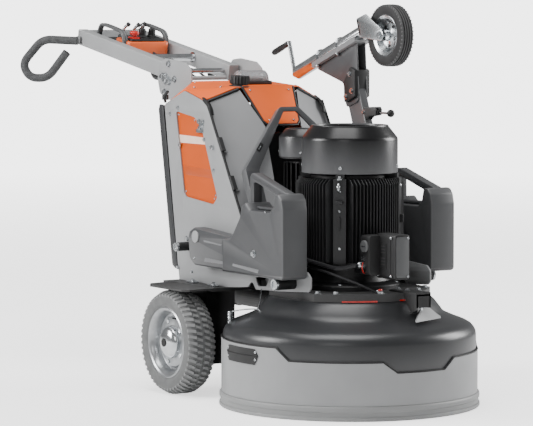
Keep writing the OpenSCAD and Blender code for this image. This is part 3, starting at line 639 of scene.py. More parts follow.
class GRINDER_OT_head(bpy.types.Operator):
    """Moulded head cover, red strip, plate bolts, front bracket, and a light grey gusset sheet that paints
    in the reflection on the cover's facet
    """
    bl_idname = "grinder.head"
    bl_label = "Grinding head"

    def execute(self, context):
        outer = [(412.5, 120), (412.5, 232), (410.5, 243), (405, 254), (396, 264), (384, 271), (372, 276),
                 (350, 284), (322, 296), (310, 302), (302, 309), (296, 318), (288, 328), (276, 343),
                 (266, 352),
                 (258, 357), (200, 357)]
        inner = [(200, 353), (256, 353), (262, 349), (292, 316), (308, 299), (384, 266), (402, 252),
                 (408.5, 232),
                 (408.5, 120)]
        shape = Shape().lathe(outer + inner, steps=192, ring=True)
        shape.piece("head_shell", moulded_cover(), "chassis", "cover_plastic", ["head_cover"], 0, 30)
        strip = Shape()
        for start, sweep in ((-129, 25), (-86, 8), (-40, 20)):
            strip.lathe([(258, 357), (263.5, 357), (263.5, 362), (258, 362)], steps=20, ring=True,
                        start=start, sweep=sweep)
        strip.piece("head_red_strip", red_abs(), "chassis", "red_plastic")
        bolts = Shape()
        for a in (-148, -134, -100, -60, -40, 40, 65, 115, 140):
            r = math.radians(a)
            bolts.hex_bolt((246 * math.cos(r), 246 * math.sin(r), 382), (0, 0, 1), 8.5, 7)
        for p in ((754, 925), (700, 948), (528, 846), (466, 745), (610, 393), (690, 820)):
            for side in (-1, 1):
                bolts.hex_bolt((side * 235, *p), (side, 0, 0), 5.5, 3.5)
        for p in ((913, 1092), (873, 1039), (942, 993)):
            for side in (-1, 1):
                bolts.hex_bolt((side * 147, *p), (side, 0, 0), 9, 7)
        bolts.piece("chassis_hex_bolts", zinc_plate(), "chassis", "zinc", ["chassis_bolts"])
        self.bracket()
        return {"FINISHED"}

    def bracket(self):
        shape = Shape().block((35, -330, 382), (90, -182, 388))
        shape.block((35, -330, 338), (41, -302, 382)).block((84, -330, 338), (90, -302, 382))
        shape.block((41, -308, 346), (84, -302, 382)).block((35, -330, 376), (90, -302, 382.5))
        shape.block((35, -330, 340), (90, -326, 384))
        side = rounded([(-182, 382), (-182, 387.5), (-330, 387.5), (-330, 330), (-303, 322), (-274, 358),
                        (-264, 382)], 4)
        shape.slab([side], 4, side_at(1, 31, 4), 0.6)
        shape.piece("front_bracket_plates", black_coat(), "chassis", "black_paint", ["front_bracket"], 1.2)
        nut = Shape().hex_bolt((62, -317, 348), (0, 0, -1), 9, 8)
        nut.lathe([(0, 0), (5.5, 0), (5.5, 17), (4.5, 19), (0, 19)], facing((62, -317, 348), (0, 0, -1)), 20)
        nut.hex_bolt((60, -240, 388), (0, 0, 1), 7, 5).hex_bolt((60, -190, 388), (0, 0, 1), 7, 5)
        nut.piece("front_bracket_nut", zinc_plate(), "chassis", "zinc")
        # Painted reflection: this light grey triangle stands in for the studio light reflected by the head
        # cover's facet beside the bracket, and takes the place of the frame's gusset plate.
        corner = [(16, -352, 296), (140, -318, 300), (92, -286, 350)]
        back = [(18, -346, 302), (142, -312, 306), (98, -272, 350)]
        plate = Shape().solid(corner + back,
                              [(0, 1, 2), (5, 4, 3), (0, 3, 4, 1), (1, 4, 5, 2), (2, 5, 3, 0)])
        plate.piece("gusset_painted_reflection", light_coat(), "chassis", "grey_paint", ["gusset_plate"], 1.5)


# ---------------------------------------------------------------- the motors

FIN_R, FAN_R, FAN_Z, FAN_TOP = 175, 156.2, 757, 910


def diagonal(r, z, quarter=0):
    a = math.radians(-135 + 90 * quarter)
    return Vector((r * math.cos(a), r * math.sin(a), z))


class GRINDER_OT_main_motor(bpy.types.Operator):
    """Finned body, fan cover, grille, bosses and terminal box of the main motor"""
    bl_idname = "grinder.main_motor"
    bl_label = "Main motor"

    def execute(self, context):
        core = [(21, 382), (165, 382), (165, 396), (161, 400), (137, 408), (129, 420), (126, 450),
                (126, 750),
                (150, 757), (150, 775), (21, 775)]
        shape = Shape().lathe(core, steps=96, ring=True)
        thick = sizes().fin
        for quarter in range(4):
            spin = turn(90 * quarter, "Z")
            for i in range(-8, 9):
                reach = math.sqrt(FIN_R ** 2 - (11 * i) ** 2)
                start = math.sqrt(max(124 ** 2 - (11 * i) ** 2, 0))
                fin = [(start, 474), (reach - 4, 474), (reach, 478), (reach, 724), (reach - 16, 741),
                       (start, 741)]
                x = 11 * i - thick / 2
                points = [(x + d, u, v) for d in (0, thick) for u, v in fin]
                faces = [(0, 1, 2, 3, 4, 5), (11, 10, 9, 8, 7, 6)]
                faces += [(k, k + 6, (k + 1) % 6 + 6, (k + 1) % 6) for k in range(6)]
                shape.solid(points, faces, spin)
            shape.block((100, -21, 470), (FIN_R - 8, 21, 742), turn(90 * quarter + 45, "Z"))
            shape.block((100, -14, 742), (FIN_R - 16, 14, 756), turn(90 * quarter + 45, "Z"))
        shape.block((-60, -FIN_R - 1, 440), (30, -120, 565))
        shape.piece("motor_finned_body", motor_enamel(), "chassis", "motor_casting", ["motor_body"], 0.7, 32)
        self.fan_cover()
        self.boss_fittings()
        self.terminal_box()
        return {"FINISHED"}

    def fan_cover(self):
        profile = [(153.2, 757), (156.2, 757), (156.2, 862), (155.4, 868), (152.5, 873), (128.5, 903),
                   (125.5, 907),
                   (124.4, 910), (116, 910), (114.2, 907), (114.2, 903), (119, 903), (122.5, 902),
                   (150, 870),
                   (153.2, 864)]
        cover = Shape().lathe(profile, steps=128, ring=True)
        cover.piece("motor_fan_hood", deep_drawn_black(), "chassis", "black_paint", ["motor_fan_cover"], 0,
                    32)
        grille = Shape()
        gap = sizes().grille_gap
        for k in range(int(112 / gap)):
            r = 14 + gap * k
            if r < 115:
                grille.lathe([(r - 1.5, 896), (r + 1.5, 896), (r + 1.5, 899), (r - 1.5, 899)],
                             steps=64, ring=True)
        for a in range(0, 360, 45):
            grille.block((10, -2, 893), (117, 2, 896.5), turn(a, "Z"))
        grille.lathe([(0, 892), (16, 892), (16, 900), (0, 900)], steps=32)
        grille.piece("motor_fan_grille", black_nylon(), "chassis", "black_plastic")
        screws = Shape()
        for quarter in range(4):
            screws.cap_screw(diagonal(FAN_R - 0.3, 777, quarter), diagonal(1, 0, quarter), 6, 4)
        screws.piece("motor_fan_screws", zinc_plate(), "chassis", "zinc")

    def boss_fittings(self):
        eye = Shape()
        ring = [Vector((0, 13 * math.cos(t), 13 * math.sin(t)))
                for t in [2 * math.pi * k / 28 for k in range(28)]]
        upright = facing(diagonal(FIN_R + 5, 716), (-1, 1, 0)) @ turn(90, "Y") @ turn(90, "X")
        eye.tube(ring, 3.4, 10, True, upright)
        eye.lathe([(0, 0), (9, 0), (9, 5), (5, 7), (5, 12), (0, 12)],
                  facing(diagonal(FIN_R - 8, 740), (0, 0, 1)), 24)
        for z, r in ((705, 5), (640, 4), (520, 5)):
            eye.cap_screw(diagonal(FIN_R - 8, z), diagonal(1, 0), r, 4)
        for quarter in (1, 3):
            for z in (716, 500):
                eye.cap_screw(diagonal(FIN_R - 8, z, quarter), diagonal(1, 0, quarter), 5, 4)
        for quarter in range(4):
            eye.hex_bolt(diagonal(152, 396, quarter), (0, 0, 1), 8, 7)
        eye.piece("motor_eye_and_screws", zinc_plate(), "chassis", "zinc")
        lugs = Shape()
        lugs.block((-12, 0, -4), (12, 16, 4),
                   facing(diagonal(FIN_R - 9, 668), diagonal(1, 0)) @ turn(90, "X"))
        lugs.block((-3, 0, -20), (3, 9, 20),
                   facing(diagonal(FIN_R - 9, 600), diagonal(1, 0)) @ turn(90, "X"))
        lugs.block((158, -6, 596), (178, 6, 622), turn(-45, "Z"))
        lugs.piece("motor_lugs", motor_enamel(), "chassis", "motor_casting", (), 1.0)

    def terminal_box(self):
        base = Shape().slab([rounded([(-76, 440), (20, 440), (20, 567), (-76, 567)], 12)], 50,
                            shift(0, -176, 0) @ turn(90, "X"), 2)
        base.slab([rounded([(-35, 430), (20, 430), (20, 573), (-35, 573)], 9)], 106,
                  shift(0, -206, 0) @ turn(90, "X"), 3)
        base.slab([rounded([(-304, 436), (-212, 436), (-212, 567), (-304, 567)], 9)], 4,
                  shift(-37, 0, 0) @ SIDE @ shift(18, 0, 0), 1.2)
        frame_line = [rounded([(-266, 462), (-226, 462), (-226, 542), (-266, 542)], 3),
                      rounded([(-263, 465), (-229, 465), (-229, 539), (-263, 539)], 2)]
        base.slab(frame_line, 1.6, shift(-38.2, 0, 0) @ SIDE, 0.3)
        for z in (474, 484, 494, 512, 522, 532):
            base.block((-38, -257, z), (-36, -235, z + 3))
        base.piece("terminal_box_shell", black_nylon(), "chassis", "black_plastic", ["terminal_box"], 0, 30)
        lid = Shape().slab([rounded([(-31, 437), (16, 437), (16, 566), (-31, 566)], 8)], 3,
                           shift(0, -310.5, 0) @ turn(90, "X"), 1)
        lid.lathe([(0, 0), (19, 0), (19, 5), (17, 7), (0, 7)], facing((-76, -201, 532), (-1, 0, 0)), 36)
        lid.piece("terminal_box_lid", grey_nylon(), "chassis", "black_plastic")
        fittings = Shape()
        for z in (441, 562):
            fittings.cap_screw((-38, -292, z), (-1, 0, 0), 4.6, 4)
            fittings.cap_screw((-38, -219, z), (-1, 0, 0), 4.6, 4)
            fittings.cap_screw((12, -313.5, z), (0, -1, 0), 4.2, 3)
        fittings.block((-84.4, -213, 530.5), (-82.6, -189, 533.5))
        fittings.piece("terminal_box_fittings", zinc_plate(), "chassis", "zinc")
        gland = Shape()
        gland.lathe([(0, 0), (13, 0), (13, 6), (10, 7), (10, 12), (0, 12)],
                    facing((-76, -194, 472), (-1, 0, 0)), 6)
        gland.lathe([(0, 0), (11, 0), (11, 7), (8, 10), (7.2, 12), (0, 12)],
                    facing((-88, -194, 472), (-1, 0, 0)), 28)
        gland.lathe([(0, 0), (9, 0), (9, 6), (0, 6)], facing((-76, -194, 492), (-1, 0, 0)), 6)
        gland.lathe([(0, 0), (10, 0), (10, 8), (8, 12), (0, 12)], facing((-88, 256, 495), (-1, 0, 0)), 28)
        gland.lathe([(0, 0), (7, 0), (7, 8), (5, 12), (0, 12)], facing((-44, -236, 388), (-1, 0, 0)), 20)
        gland.piece("cable_gland_nuts", zinc_plate(), "chassis", "zinc", ["cable_glands"])
        marks = Shape().tube(smooth_path([(-84, -200, 480), (-90, -206, 466), (-84, -202, 452),
                                          (-76, -197, 446)]), 2)
        marks.tube(smooth_path([(-52, -242, 394), (-47, -246, 395), (-40, -244, 394)]), 3)
        marks.piece("red_wire_marks", red_abs(), "chassis", "red_plastic")


class GRINDER_OT_small_motor(bpy.types.Operator):
    """Fan cover, grille and screws of the small upright motor"""
    bl_idname = "grinder.small_motor"
    bl_label = "Small motor and cables"

    def execute(self, context):
        at = shift(0, 256, 0)
        cover = [(90.2, 797), (93.2, 797), (93.2, 860), (92, 864), (73, 885), (70, 888), (62, 888),
                 (59.2, 886),
                 (59.2, 883), (66, 883), (69.5, 882), (89, 861), (90.2, 858)]
        Shape().lathe(cover, at, 96, True).piece(
            "small_fan_hood", deep_drawn_black(), "chassis", "black_paint", ["small_fan_cover"], 0, 32)
        grille = Shape()
        for k in range(6):
            r = 10 + 9 * k
            grille.lathe([(r - 1.4, 878), (r + 1.4, 878), (r + 1.4, 881), (r - 1.4, 881)], at, 48, True)
        for a in range(0, 360, 60):
            grille.block((6, -1.6, 875), (62, 1.6, 878.5), at @ turn(a, "Z"))
        grille.piece("small_fan_grille", black_nylon(), "chassis", "black_plastic")
        screws = Shape()
        for a in (-135, -45, 45, 135):
            out = Vector((math.cos(math.radians(a)), math.sin(math.radians(a)), 0))
            screws.cap_screw(at @ (out * 93 + Vector((0, 0, 812))), out, 4.6, 3.5)
        screws.piece("small_fan_screws", zinc_plate(), "chassis", "zinc")
        return {"FINISHED"}


# ---------------------------------------------------------------- the chassis

PLATE_IN = 229
SIDE_OUTLINE = [(696, 361), (793, 957), (660, 1006), (541, 976), (512, 958), (500, 940), (301, 607),
                (228, 470),
                (-110, 449), (-129, 432), (-129, 398), (-117, 386), (60, 374), (200, 368), (225, 396),
                (250, 372),
                (372, 361)]
SIDE_ROUNDS = [3, 14, 20, 26, 16, 12, 30, 30, 14, 10, 10, 10, 40, 8, 16, 8, 10]
WINDOW = [(716, 936), (590, 918), (540, 872), (444, 655), (470, 631), (649, 647), (662, 660)]
WINDOW_ROUNDS = [10, 34, 30, 16, 16, 10, 10]
HAND_SLOT = [(205, 410), (186, 381), (136, 384), (116, 412)]


def across(path, inset):
    """Points moved to the left of a path in the side view, by inset."""
    made = []
    for i, p in enumerate(path):
        a, b = Vector(path[max(i - 1, 0)]), Vector(path[min(i + 1, len(path) - 1)])
        along = (b - a).normalized()
        made.append(Vector(p) + Vector((-along.y, along.x)) * inset)
    return made


class GRINDER_OT_chassis(bpy.types.Operator):
    """Side plates, inset panels, seals, screws and latch"""
    bl_idname = "grinder.chassis"
    bl_label = "Chassis"

    def execute(self, context):
        outline = rounded(SIDE_OUTLINE, SIDE_ROUNDS)
        holes = [rounded(WINDOW, WINDOW_ROUNDS), rounded(HAND_SLOT, 7)]

        def plate(side):
            shape = Shape().slab([outline] + holes, 6, side_at(side, PLATE_IN, 6), 1.0)
            pin = facing((side * 235, 490, 524), (side, 0, 0))
            return shape.lathe([(0, 0), (12, 0), (12, 56), (20, 56), (20, 60), (18, 61), (0, 61)], pin, 40)

        both_sides("side_sheet", plate, light_coat(), "chassis", "grey_paint", ["side_plate_{}"])
        self.panels()
        self.seals()
        self.latch()
        return {"FINISHED"}

    def panels(self):
        sheet = rounded([(728, 946), (588, 930), (534, 878), (430, 650), (460, 618), (655, 633), (676, 655)],
                        14)
        shape = Shape()
        for side in (-1, 1):
            shape.slab([sheet], 3, side_at(side, PLATE_IN - 3, 3), 0.4)
        shape.piece("inset_sheets", inset_orange(), "chassis", "orange_paint", ["inset_panels"])
        stripe, shadow, screws = Shape(), Shape(), Shape()
        for side in (-1, 1):
            stripe.slab([[(703, 856), (532, 852), (524, 829), (699, 829)]], 0.8,
                        side_at(side, PLATE_IN, 0.8), 0.2)
            # The darker band below the pale stripe is a painted shadow.
            shadow.slab([[(684, 753), (486, 745), (474, 717), (679, 722)]], 0.6,
                        side_at(side, PLATE_IN, 0.6), 0.15)
            for y, z in ((704, 924), (656, 664), (468, 650), (462, 662), (598, 908)):
                screws.cap_screw((side * PLATE_IN, y, z), (side, 0, 0), 3.6, 2.5)
        pale = surface("printed_film_cream", linear("#FFE3D2"), linear("#FBD8C4"), 40, 2, 0.01, 0.4)
        stripe.piece("inset_pale_stripe", pale, "chassis", "orange_paint")
        # Painted shadow: a darker orange band across each inset panel, below the pale stripe, where shade
        # falls.
        rgb = deeper(colours().orange, 0.4)
        dark = surface("painted_shadow_orange", rgb, deeper(rgb, 0.06), 40, 2, 0.01, 0.4)
        shadow.piece("inset_painted_shadow", dark, "chassis", "orange_paint")
        screws.piece("inset_screws", zinc_plate(), "chassis", "zinc")

    def seals(self):
        front = [(541, 976), (512, 958), (500, 940), (301, 607), (262, 534)]
        seal, clips, tabs = Shape(), Shape(), Shape()
        line = smooth_path([(0, *p) for p in front], 5)
        for side in (-1, 1):
            seal.tube([p + Vector((side * 230, -2, 1)) for p in line], 4.2, 8)
            for y, z in ((436, 829), (361, 704)):
                d = Vector((0, 301 - 500, 607 - 940)).normalized()
                place = facing((side * 226, y - 7, z + 4), d)
                clips.block((-9, -6, -26), (7, 6, 26), place)
                tabs.block((-14 if side > 0 else 2, -8, -16), (-2 if side > 0 else 14, 4, 30), place)
        seal.piece("front_edge_seals", seal_rubber(), "chassis", "rubber")
        clips.piece("front_edge_clips", black_nylon(), "chassis", "black_plastic", (), 1.5)
        tabs.piece("front_edge_tabs", mid_coat(), "chassis", "mid_grey_paint", (), 1.5)
        corner = Shape()
        for side in (-1, 1):
            corner.tube(smooth_path([(side * 224, 548, 983), (side * 224, 520, 969), (side * 225, 500, 950),
                                     (side * 225, 492, 930)]), 9, 10, flat=0.5)
        corner.piece("hood_corner_seals", seal_rubber(), "chassis", "rubber")
        rear = Shape()
        for side in (-1, 1):
            rear.slab([rounded([(690, 372), (698, 372), (793, 950), (784, 952)], 3)], 9,
                      side_at(side, PLATE_IN - 4, 9), 1)
        rear.piece("rear_edge_seals", seal_rubber(), "chassis", "rubber")

    def latch(self):
        shape, dark = Shape(), Shape()
        for side in (-1, 1):
            x = side * 235
            for p, r in (((560, 905), 7), ((543, 893), 9), ((553, 884), 7), ((534, 906), 6)):
                shape.hex_bolt((x, *p), (side, 0, 0), r, 6)
            shape.block((min(x, x + side * 4), 534, 868), (max(x, x + side * 4), 572, 880))
            shape.lathe([(0, 0), (8, 0), (8, 8), (6, 10), (0, 10)], facing((x, 470, 822), (side, 0, 0)), 24)
            shape.lathe([(0, 0), (7, 0), (7, 6), (5, 8), (0, 8)], facing((x, 700, 402), (side, 0, 0)), 24)
            shape.lathe([(0, 0), (9, 0), (9, 5), (7, 7), (0, 7)], facing((x, 640, 505), (side, 0, 0)), 24)
            dark.block((min(x, x + side * 6), 764, 972), (max(x, x + side * 6), 800, 990))
            dark.tube(smooth_path([(x, 786, 964), (x + side * 8, 778, 984), (x + side * 5, 760, 1002)]), 5)
            dark.slab([rounded([(-20, -5), (20, -5), (20, 5), (-20, 5)], 4)], 3,
                      shift(x, 558, 874) @ (SIDE if side > 0 else shift(-3, 0, 0) @ SIDE), 0.6)
        shape.piece("latch_and_side_screws", zinc_plate(), "chassis", "zinc")
        dark.piece("latch_hooks", black_nylon(), "chassis", "black_plastic", (), 1)


class GRINDER_OT_hood(bpy.types.Operator):
    """Orange hood with flap, sloping covers, guard arch, signal lamp, filler cap and rear door"""
    bl_idname = "grinder.hood"
    bl_label = "Hood and covers"

    def execute(self, context):
        shape = Shape()
        top = [(125, 500, 1022), (140, 757, 1036), (229, 793, 959), (229, 660, 1008), (229, 541, 978)]
        points = [(s * x, y, z) for s in (-1, 1) for x, y, z in top]
        under = [(x * 0.982, 4 + y * 0.993, z - 5) for x, y, z in points]
        faces = [(0, 1, 6, 5), (0, 3, 1), (0, 4, 3), (1, 3, 2), (5, 6, 8), (5, 8, 9), (6, 7, 8),
                 (1, 2, 7, 6)]
        faces += [tuple(10 + i for i in reversed(f)) for f in faces]
        rim = [0, 4, 3, 2, 7, 8, 9, 5]
        faces += [(a, b, 10 + b, 10 + a) for a, b in zip(rim, rim[1:] + rim[:1])]
        shape.solid(points + under, faces)
        shape.piece("hood_shell", gloss_orange(), "chassis", "orange_plastic", ["top_cover"], 5, 14)
        flap = rounded([(-98, 6), (-68, -142), (-56, -155), (56, -155), (68, -142), (98, 6)],
                       [2, 12, 12, 12, 12, 2])
        Shape().slab([flap], 4, FLAP @ shift(0, 0, -4), 1).piece(
            "hood_front_flap", gloss_orange(), "chassis", "orange_plastic")
        seal = Shape().tube([FLAP @ Vector((x, y, -3)) for x, y in
                             ((-102, 0), (-73, -142), (-60, -159), (60, -159), (73, -142), (102, 0))], 4, 8)
        for side in (-1, 1):
            seal.tube([(side * 118, 498, 1014), (side * 224, 532, 972)], 5, 8)
        seal.piece("hood_seals", seal_rubber(), "chassis", "rubber")
        screws = Shape()
        for x in (-48, 48):
            screws.cap_screw(FLAP @ Vector((x, -142, 0)), FLAP.to_3x3() @ Vector((0, 0, 1)), 4, 3)
            screws.cap_screw(FLAP @ Vector((x * 1.6, -16, 0)), FLAP.to_3x3() @ Vector((0, 0, 1)), 4, 3)
        for side in (-1, 1):
            for p in ((150, 560, 1021), (205, 640, 1017), (150, 730, 1030)):
                screws.cap_screw((side * p[0], p[1], p[2]), (side * 0.2, 0, 1), 4, 3)
        screws.piece("hood_screws", zinc_plate(), "chassis", "zinc")
        self.covers()
        self.lamp_and_cap()
        self.door()
        return {"FINISHED"}

    def covers(self):
        shape = Shape()
        for s in (-1, 1):
            outer = [(113, 496, 1012), (228, 534, 968), (228, 304, 607), (108, 250, 607), (71, 402, 893)]
            inner = [(115, 501, 1008), (228, 540, 964), (228, 310, 603), (108, 256, 603), (73, 408, 889)]
            points = [(s * x, y, z) for x, y, z in outer + inner]
            faces = [(0, 1, 2, 4), (2, 3, 4), (6, 5, 9, 7), (8, 7, 9)]
            faces += [(k, 5 + k, 5 + (k + 1) % 5, (k + 1) % 5) for k in range(5)]
            shape.solid(points, faces)
        shape.piece("sloping_covers", mid_coat(), "chassis", "mid_grey_paint", ["front_panel"], 2.0, 12)
        outer = [(-226, -628), (-226, -216), (-36, 0), (36, 0), (226, -216), (226, -628)]
        inner = [(-174, -628), (-174, -222), (-26, -17), (26, -17), (174, -222), (174, -628)]
        face = rounded(outer, [1, 26, 14, 14, 26, 1])
        hole = rounded(inner, [1, 18, 10, 10, 18, 1])
        arch = Shape()
        arch.slab([face + list(reversed(hole))], 5, ARCH @ shift(0, 0, -6), 1.2)
        rim = rounded([(x * 0.985, y - 3) for x, y in outer], [1, 24, 13, 13, 24, 1])
        wall = rounded([(x, y) for x, y in outer], [1, 26, 14, 14, 26, 1])
        arch.slab([wall + list(reversed(rim))], 26, ARCH @ shift(0, 0, -31.5), 0.8)
        arch.piece("guard_arch", dark_coat(), "chassis", "dark_grey_paint", ["front_shield"], 0, 30)
        # Painted shade: flat black patches, in the black rubber finish, stand in for the shade inside the
        # arch's two slots; the arch under them is solid.
        slots = Shape()
        slope = ARCH @ shift(-152, -142, -0.8) @ turn(48.7, "Z")
        slots.slab([rounded([(-17, -7), (17, -7), (17, 7), (-17, 7)], 3)], 1.4, slope, 0.3)
        slots.slab([rounded([(-17, -7), (17, -7), (17, 7), (-17, 7)], 3)], 1.4,
                   ARCH @ shift(152, -142, -0.8) @ turn(-48.7, "Z"), 0.3)
        slots.piece("guard_arch_slot_shade", seal_rubber(), "chassis", "rubber")
        key = Shape().block((-12, -2, 0), (6, 1, 1.6), slope)
        key.piece("guard_arch_pin", zinc_plate(), "chassis", "zinc")

    def lamp_and_cap(self):
        base = Shape().slab([rounded([(-66, 72), (66, 72), (66, 148), (-66, 148)], 10)], 12, HOOD, 2.5)
        base.piece("lamp_base", black_nylon(), "chassis", "black_plastic", ["beacon_base"])
        along_x = HOOD @ shift(-53, 110, 12) @ turn(90, "Y")
        Shape().lathe([(0, 0), (32, 0), (34, 2), (34, 104), (32, 106), (0, 106), (0, 103), (31, 103),
                       (31, 3), (0, 3)],
                      along_x, 40, False, 90, 180).piece(
            "lamp_lens", clear_lens(), "chassis", "clear_lens", ["beacon_lens"], 0, 30)
        lamp = Shape().lathe([(0, 0), (26, 0), (26, 2), (0, 2)], along_x @ shift(0, 0, 4), 32,
                             False, 95, 170)
        lamp.lathe([(0, 0), (26, 0), (26, 2), (0, 2)], along_x @ shift(0, 0, 100), 32, False, 95, 170)
        lamp.lathe([(0, 8), (8, 8), (8, 98), (0, 98)], along_x @ shift(-10, 0, 0), 24)
        white = surface("moulded_reflector_white", linear("#F4F4F2"), linear("#E4E4E2"), 20, 1, 0.02, 0.3)
        lamp.piece("lamp_reflector", white, "chassis", "clear_lens")
        cap = Shape()
        centre = HOOD @ shift(-90, 34, 0)
        ribs = [(33.0 if k % 4 < 2 else 30.2) for k in range(72)]
        rings = [(0.94, 6), (1, 9), (1, 30), (0.94, 34)]
        points = [(r * s * math.cos(math.radians(5 * k)), r * s * math.sin(math.radians(5 * k)), z)
                  for s, z in rings for k, r in enumerate(ribs)]
        faces = [(72 * i + k, 72 * i + (k + 1) % 72, 72 * i + 72 + (k + 1) % 72, 72 * i + 72 + k)
                 for i in range(3) for k in range(72)]
        faces += [tuple(reversed(range(72))), tuple(range(216, 288))]
        cap.solid(points, faces, centre)
        cap.lathe([(0, 0.5), (27, 0.5), (27, 8), (0, 8)], centre, 40)
        cap.lathe([(0, 33), (22, 33), (22, 34.3), (20, 35), (0, 35)], centre, 40)
        cap.piece("filler_cap_ribbed", black_nylon(), "filler_cap", "black_plastic", ["filler_cap"], 0, 30)
        neck = Shape().lathe([(28, -2), (38, -2), (38, 0), (36, 1.6), (28, 1.6)], centre, 48, True)
        neck.piece("filler_neck", black_nylon(), "chassis", "black_plastic")

    def door(self):
        outline = rounded([(708, 404), (722, 396), (736, 408), (824, 938), (816, 950), (800, 948)],
                          [4, 6, 10, 10, 6, 4])
        door = Shape().slab([outline], 436, shift(-224, 0, 0) @ SIDE, 5)
        lip = rounded([(709, 404), (724, 396), (744, 408), (835, 938), (828, 956), (804, 954)],
                      [4, 6, 10, 10, 6, 4])
        door.slab([lip], 9, shift(-235, 0, 0) @ SIDE, 2)
        door.piece("rear_door_shell", moulded_cover(), "rear_door", "cover_plastic", ["rear_door"], 0, 34)
        tilt = shift(0, 780, 666) @ turn(-9.4, "X")
        ribs = Shape()
        for z in range(-180, 200, 24):
            ribs.block((-150, -4, z), (150, 1.6, z + 12), tilt)
        ribs.piece("rear_door_vents", black_nylon(), "rear_door", "black_plastic", (), 1.5)
        hinge = Shape()
        for z in (450, 660, 890):
            y = 709 + 0.1628 * (z - 404)
            hinge.lathe([(0, 0), (5, 0), (5, 50), (0, 50)], facing((210, y, z - 25), (0, 0.16, 0.987)), 16)
        hinge.piece("rear_door_hinge_pins", zinc_plate(), "rear_door", "zinc")
        catch = Shape().slab([rounded([(-14, -30), (14, -30), (14, 30), (-14, 30)], 8)], 8,
                             shift(-188, 797, 700) @ turn(-99, "X"), 2)
        catch.piece("rear_door_catch", black_nylon(), "rear_door", "black_plastic")


# ---------------------------------------------------------------- wheels and weights

class GRINDER_OT_wheels(bpy.types.Operator):
    """Rear tyres with lugs, pressed rims, hub caps, wheel nuts and mudguard fittings"""
    bl_idname = "grinder.wheels"
    bl_label = "Rear wheels"

    def execute(self, context):
        def place(side):
            return shift(side * WHEEL_X, WHEEL_Y, WHEEL_Z) @ turn(90 * side, "Y")

        def tyre(side):
            at, depth = place(side), sizes().lug
            crown = 174.5 - depth
            profile = [(114, -40), (120, -47), (128, -49.5), (131, -50.5), (134, -50), (150, -52),
                       (crown - 10, -48),
                       (crown - 3, -40), (crown, -28), (crown, 28), (crown - 3, 40), (crown - 10, 48),
                       (150, 52),
                       (134, 50), (131, 50.5), (128, 49.5), (120, 47), (114, 40)]
            shape = Shape().lathe(profile, at, 128, True)
            count = sizes().lugs
            half = 360 / count * 0.29
            for k in range(count):
                a = 360 * k / count
                for sign in (-1, 1):
                    base = a + (180 / count if sign > 0 else 0)
                    self.lug(shape, at, base, half, sign * 27, sign * 50, crown, depth, 14)
                    self.lug(shape, at, base + 180 / count, half * 0.9, sign * 5, sign * 23, crown, depth, 0)
            return shape

        both_sides("rear_tyre", tyre, rear_rubber(), "wheel_{}", "grey_tyre", ["tyre_{}"])

        def rim(side):
            at = place(side)
            profile = [(14.05, -30), (40, -30), (40, 0), (78, 8), (94, -8), (100, -40), (112, -44),
                       (117, -42),
                       (116, -36), (106, -34), (106, 30), (112, 36), (119, 42), (119, 46), (115, 48.5),
                       (110, 47),
                       (104, 41), (99, 26), (96, 12), (88, 10), (82, 19), (62, 23), (46, 20), (38, 24),
                       (36, 40),
                       (14.05, 40)]
            shape = Shape().lathe(profile, at, 96, True)
            for k in range(6):
                shape.lathe([(0, 8), (7, 8), (6, 12), (0, 12)],
                            at @ turn(60 * k + 30, "Z") @ shift(88, 0, 0), 16)
            return shape

        both_sides("rear_rim", rim, rim_silver(), "wheel_{}", "alloy_rim", ["rim_{}"])

        def hub(side):
            at = place(side)
            dome = [(0, 20), (55, 20), (55, 30), (53, 37), (48, 43), (40, 48), (28, 52), (14, 54), (0, 54.5)]
            shape = Shape().lathe(dome, at, 64)
            for k in range(5):
                spot = at @ turn(72 * k + 18, "Z") @ shift(71, 0, 19)
                shape.lathe([(0, 0), (8, 0), (8, 6), (6.5, 8), (0, 8)], spot, 6)
            return shape

        both_sides("rear_hub", hub, chrome_tube(), "wheel_{}", "zinc")
        self.valves(place)
        self.wings()
        return {"FINISHED"}

    def lug(self, shape, at, angle, half, w0, w1, crown, depth, drop):
        """One tread block between widths w0 and w1, dropping over the shoulder at its outer end."""
        points = []
        for top in (0, 1):
            for w, low in ((w0, 0), (w1, drop)):
                for s in (-1, 1):
                    r = crown - 2 - low if not top else crown + depth - 0.2 - low * 0.9
                    a = math.radians(angle + s * half * (0.82 if top else 1) + (w - w0) * 0.1)
                    points.append((r * math.cos(a), r * math.sin(a), w))
        shape.solid(points, [(0, 1, 3, 2), (4, 6, 7, 5), (0, 4, 5, 1), (2, 3, 7, 6), (0, 2, 6, 4),
                             (1, 5, 7, 3)], at)

    def valves(self, place):
        for side, word in ((-1, "right"), (1, "left")):
            spot = place(side) @ turn(-20, "Z") @ shift(84, 0, 14)
            Shape().tube([(0, 0, 0), (2, 0, 12), (5, 0, 24)], 2.6, 10, place=spot).piece(
                f"rear_valve_{word}", seal_rubber(), f"wheel_{word}", "rubber")

    def wings(self):
        shape = Shape()
        for side in (-1, 1):
            shape.slab([rounded([(-13, -20), (13, -20), (13, 20), (-13, 20)], 3)], 8,
                       shift(side * 262, 560, 361), 1.5)
            shape.slab([rounded([(-13, -20), (13, -20), (13, 20), (-13, 20)], 3)], 8,
                       shift(side * 262, 425, 361), 1.5)
            shape.hex_bolt((side * 262, 425, 369), (0, 0, 1), 7, 5).hex_bolt((side * 262, 560, 369),
                                                                             (0, 0, 1), 7, 5)
        shape.piece("mudguard_blocks", zinc_plate(), "chassis", "zinc")


WEIGHT_IN = PLATE_IN + 11


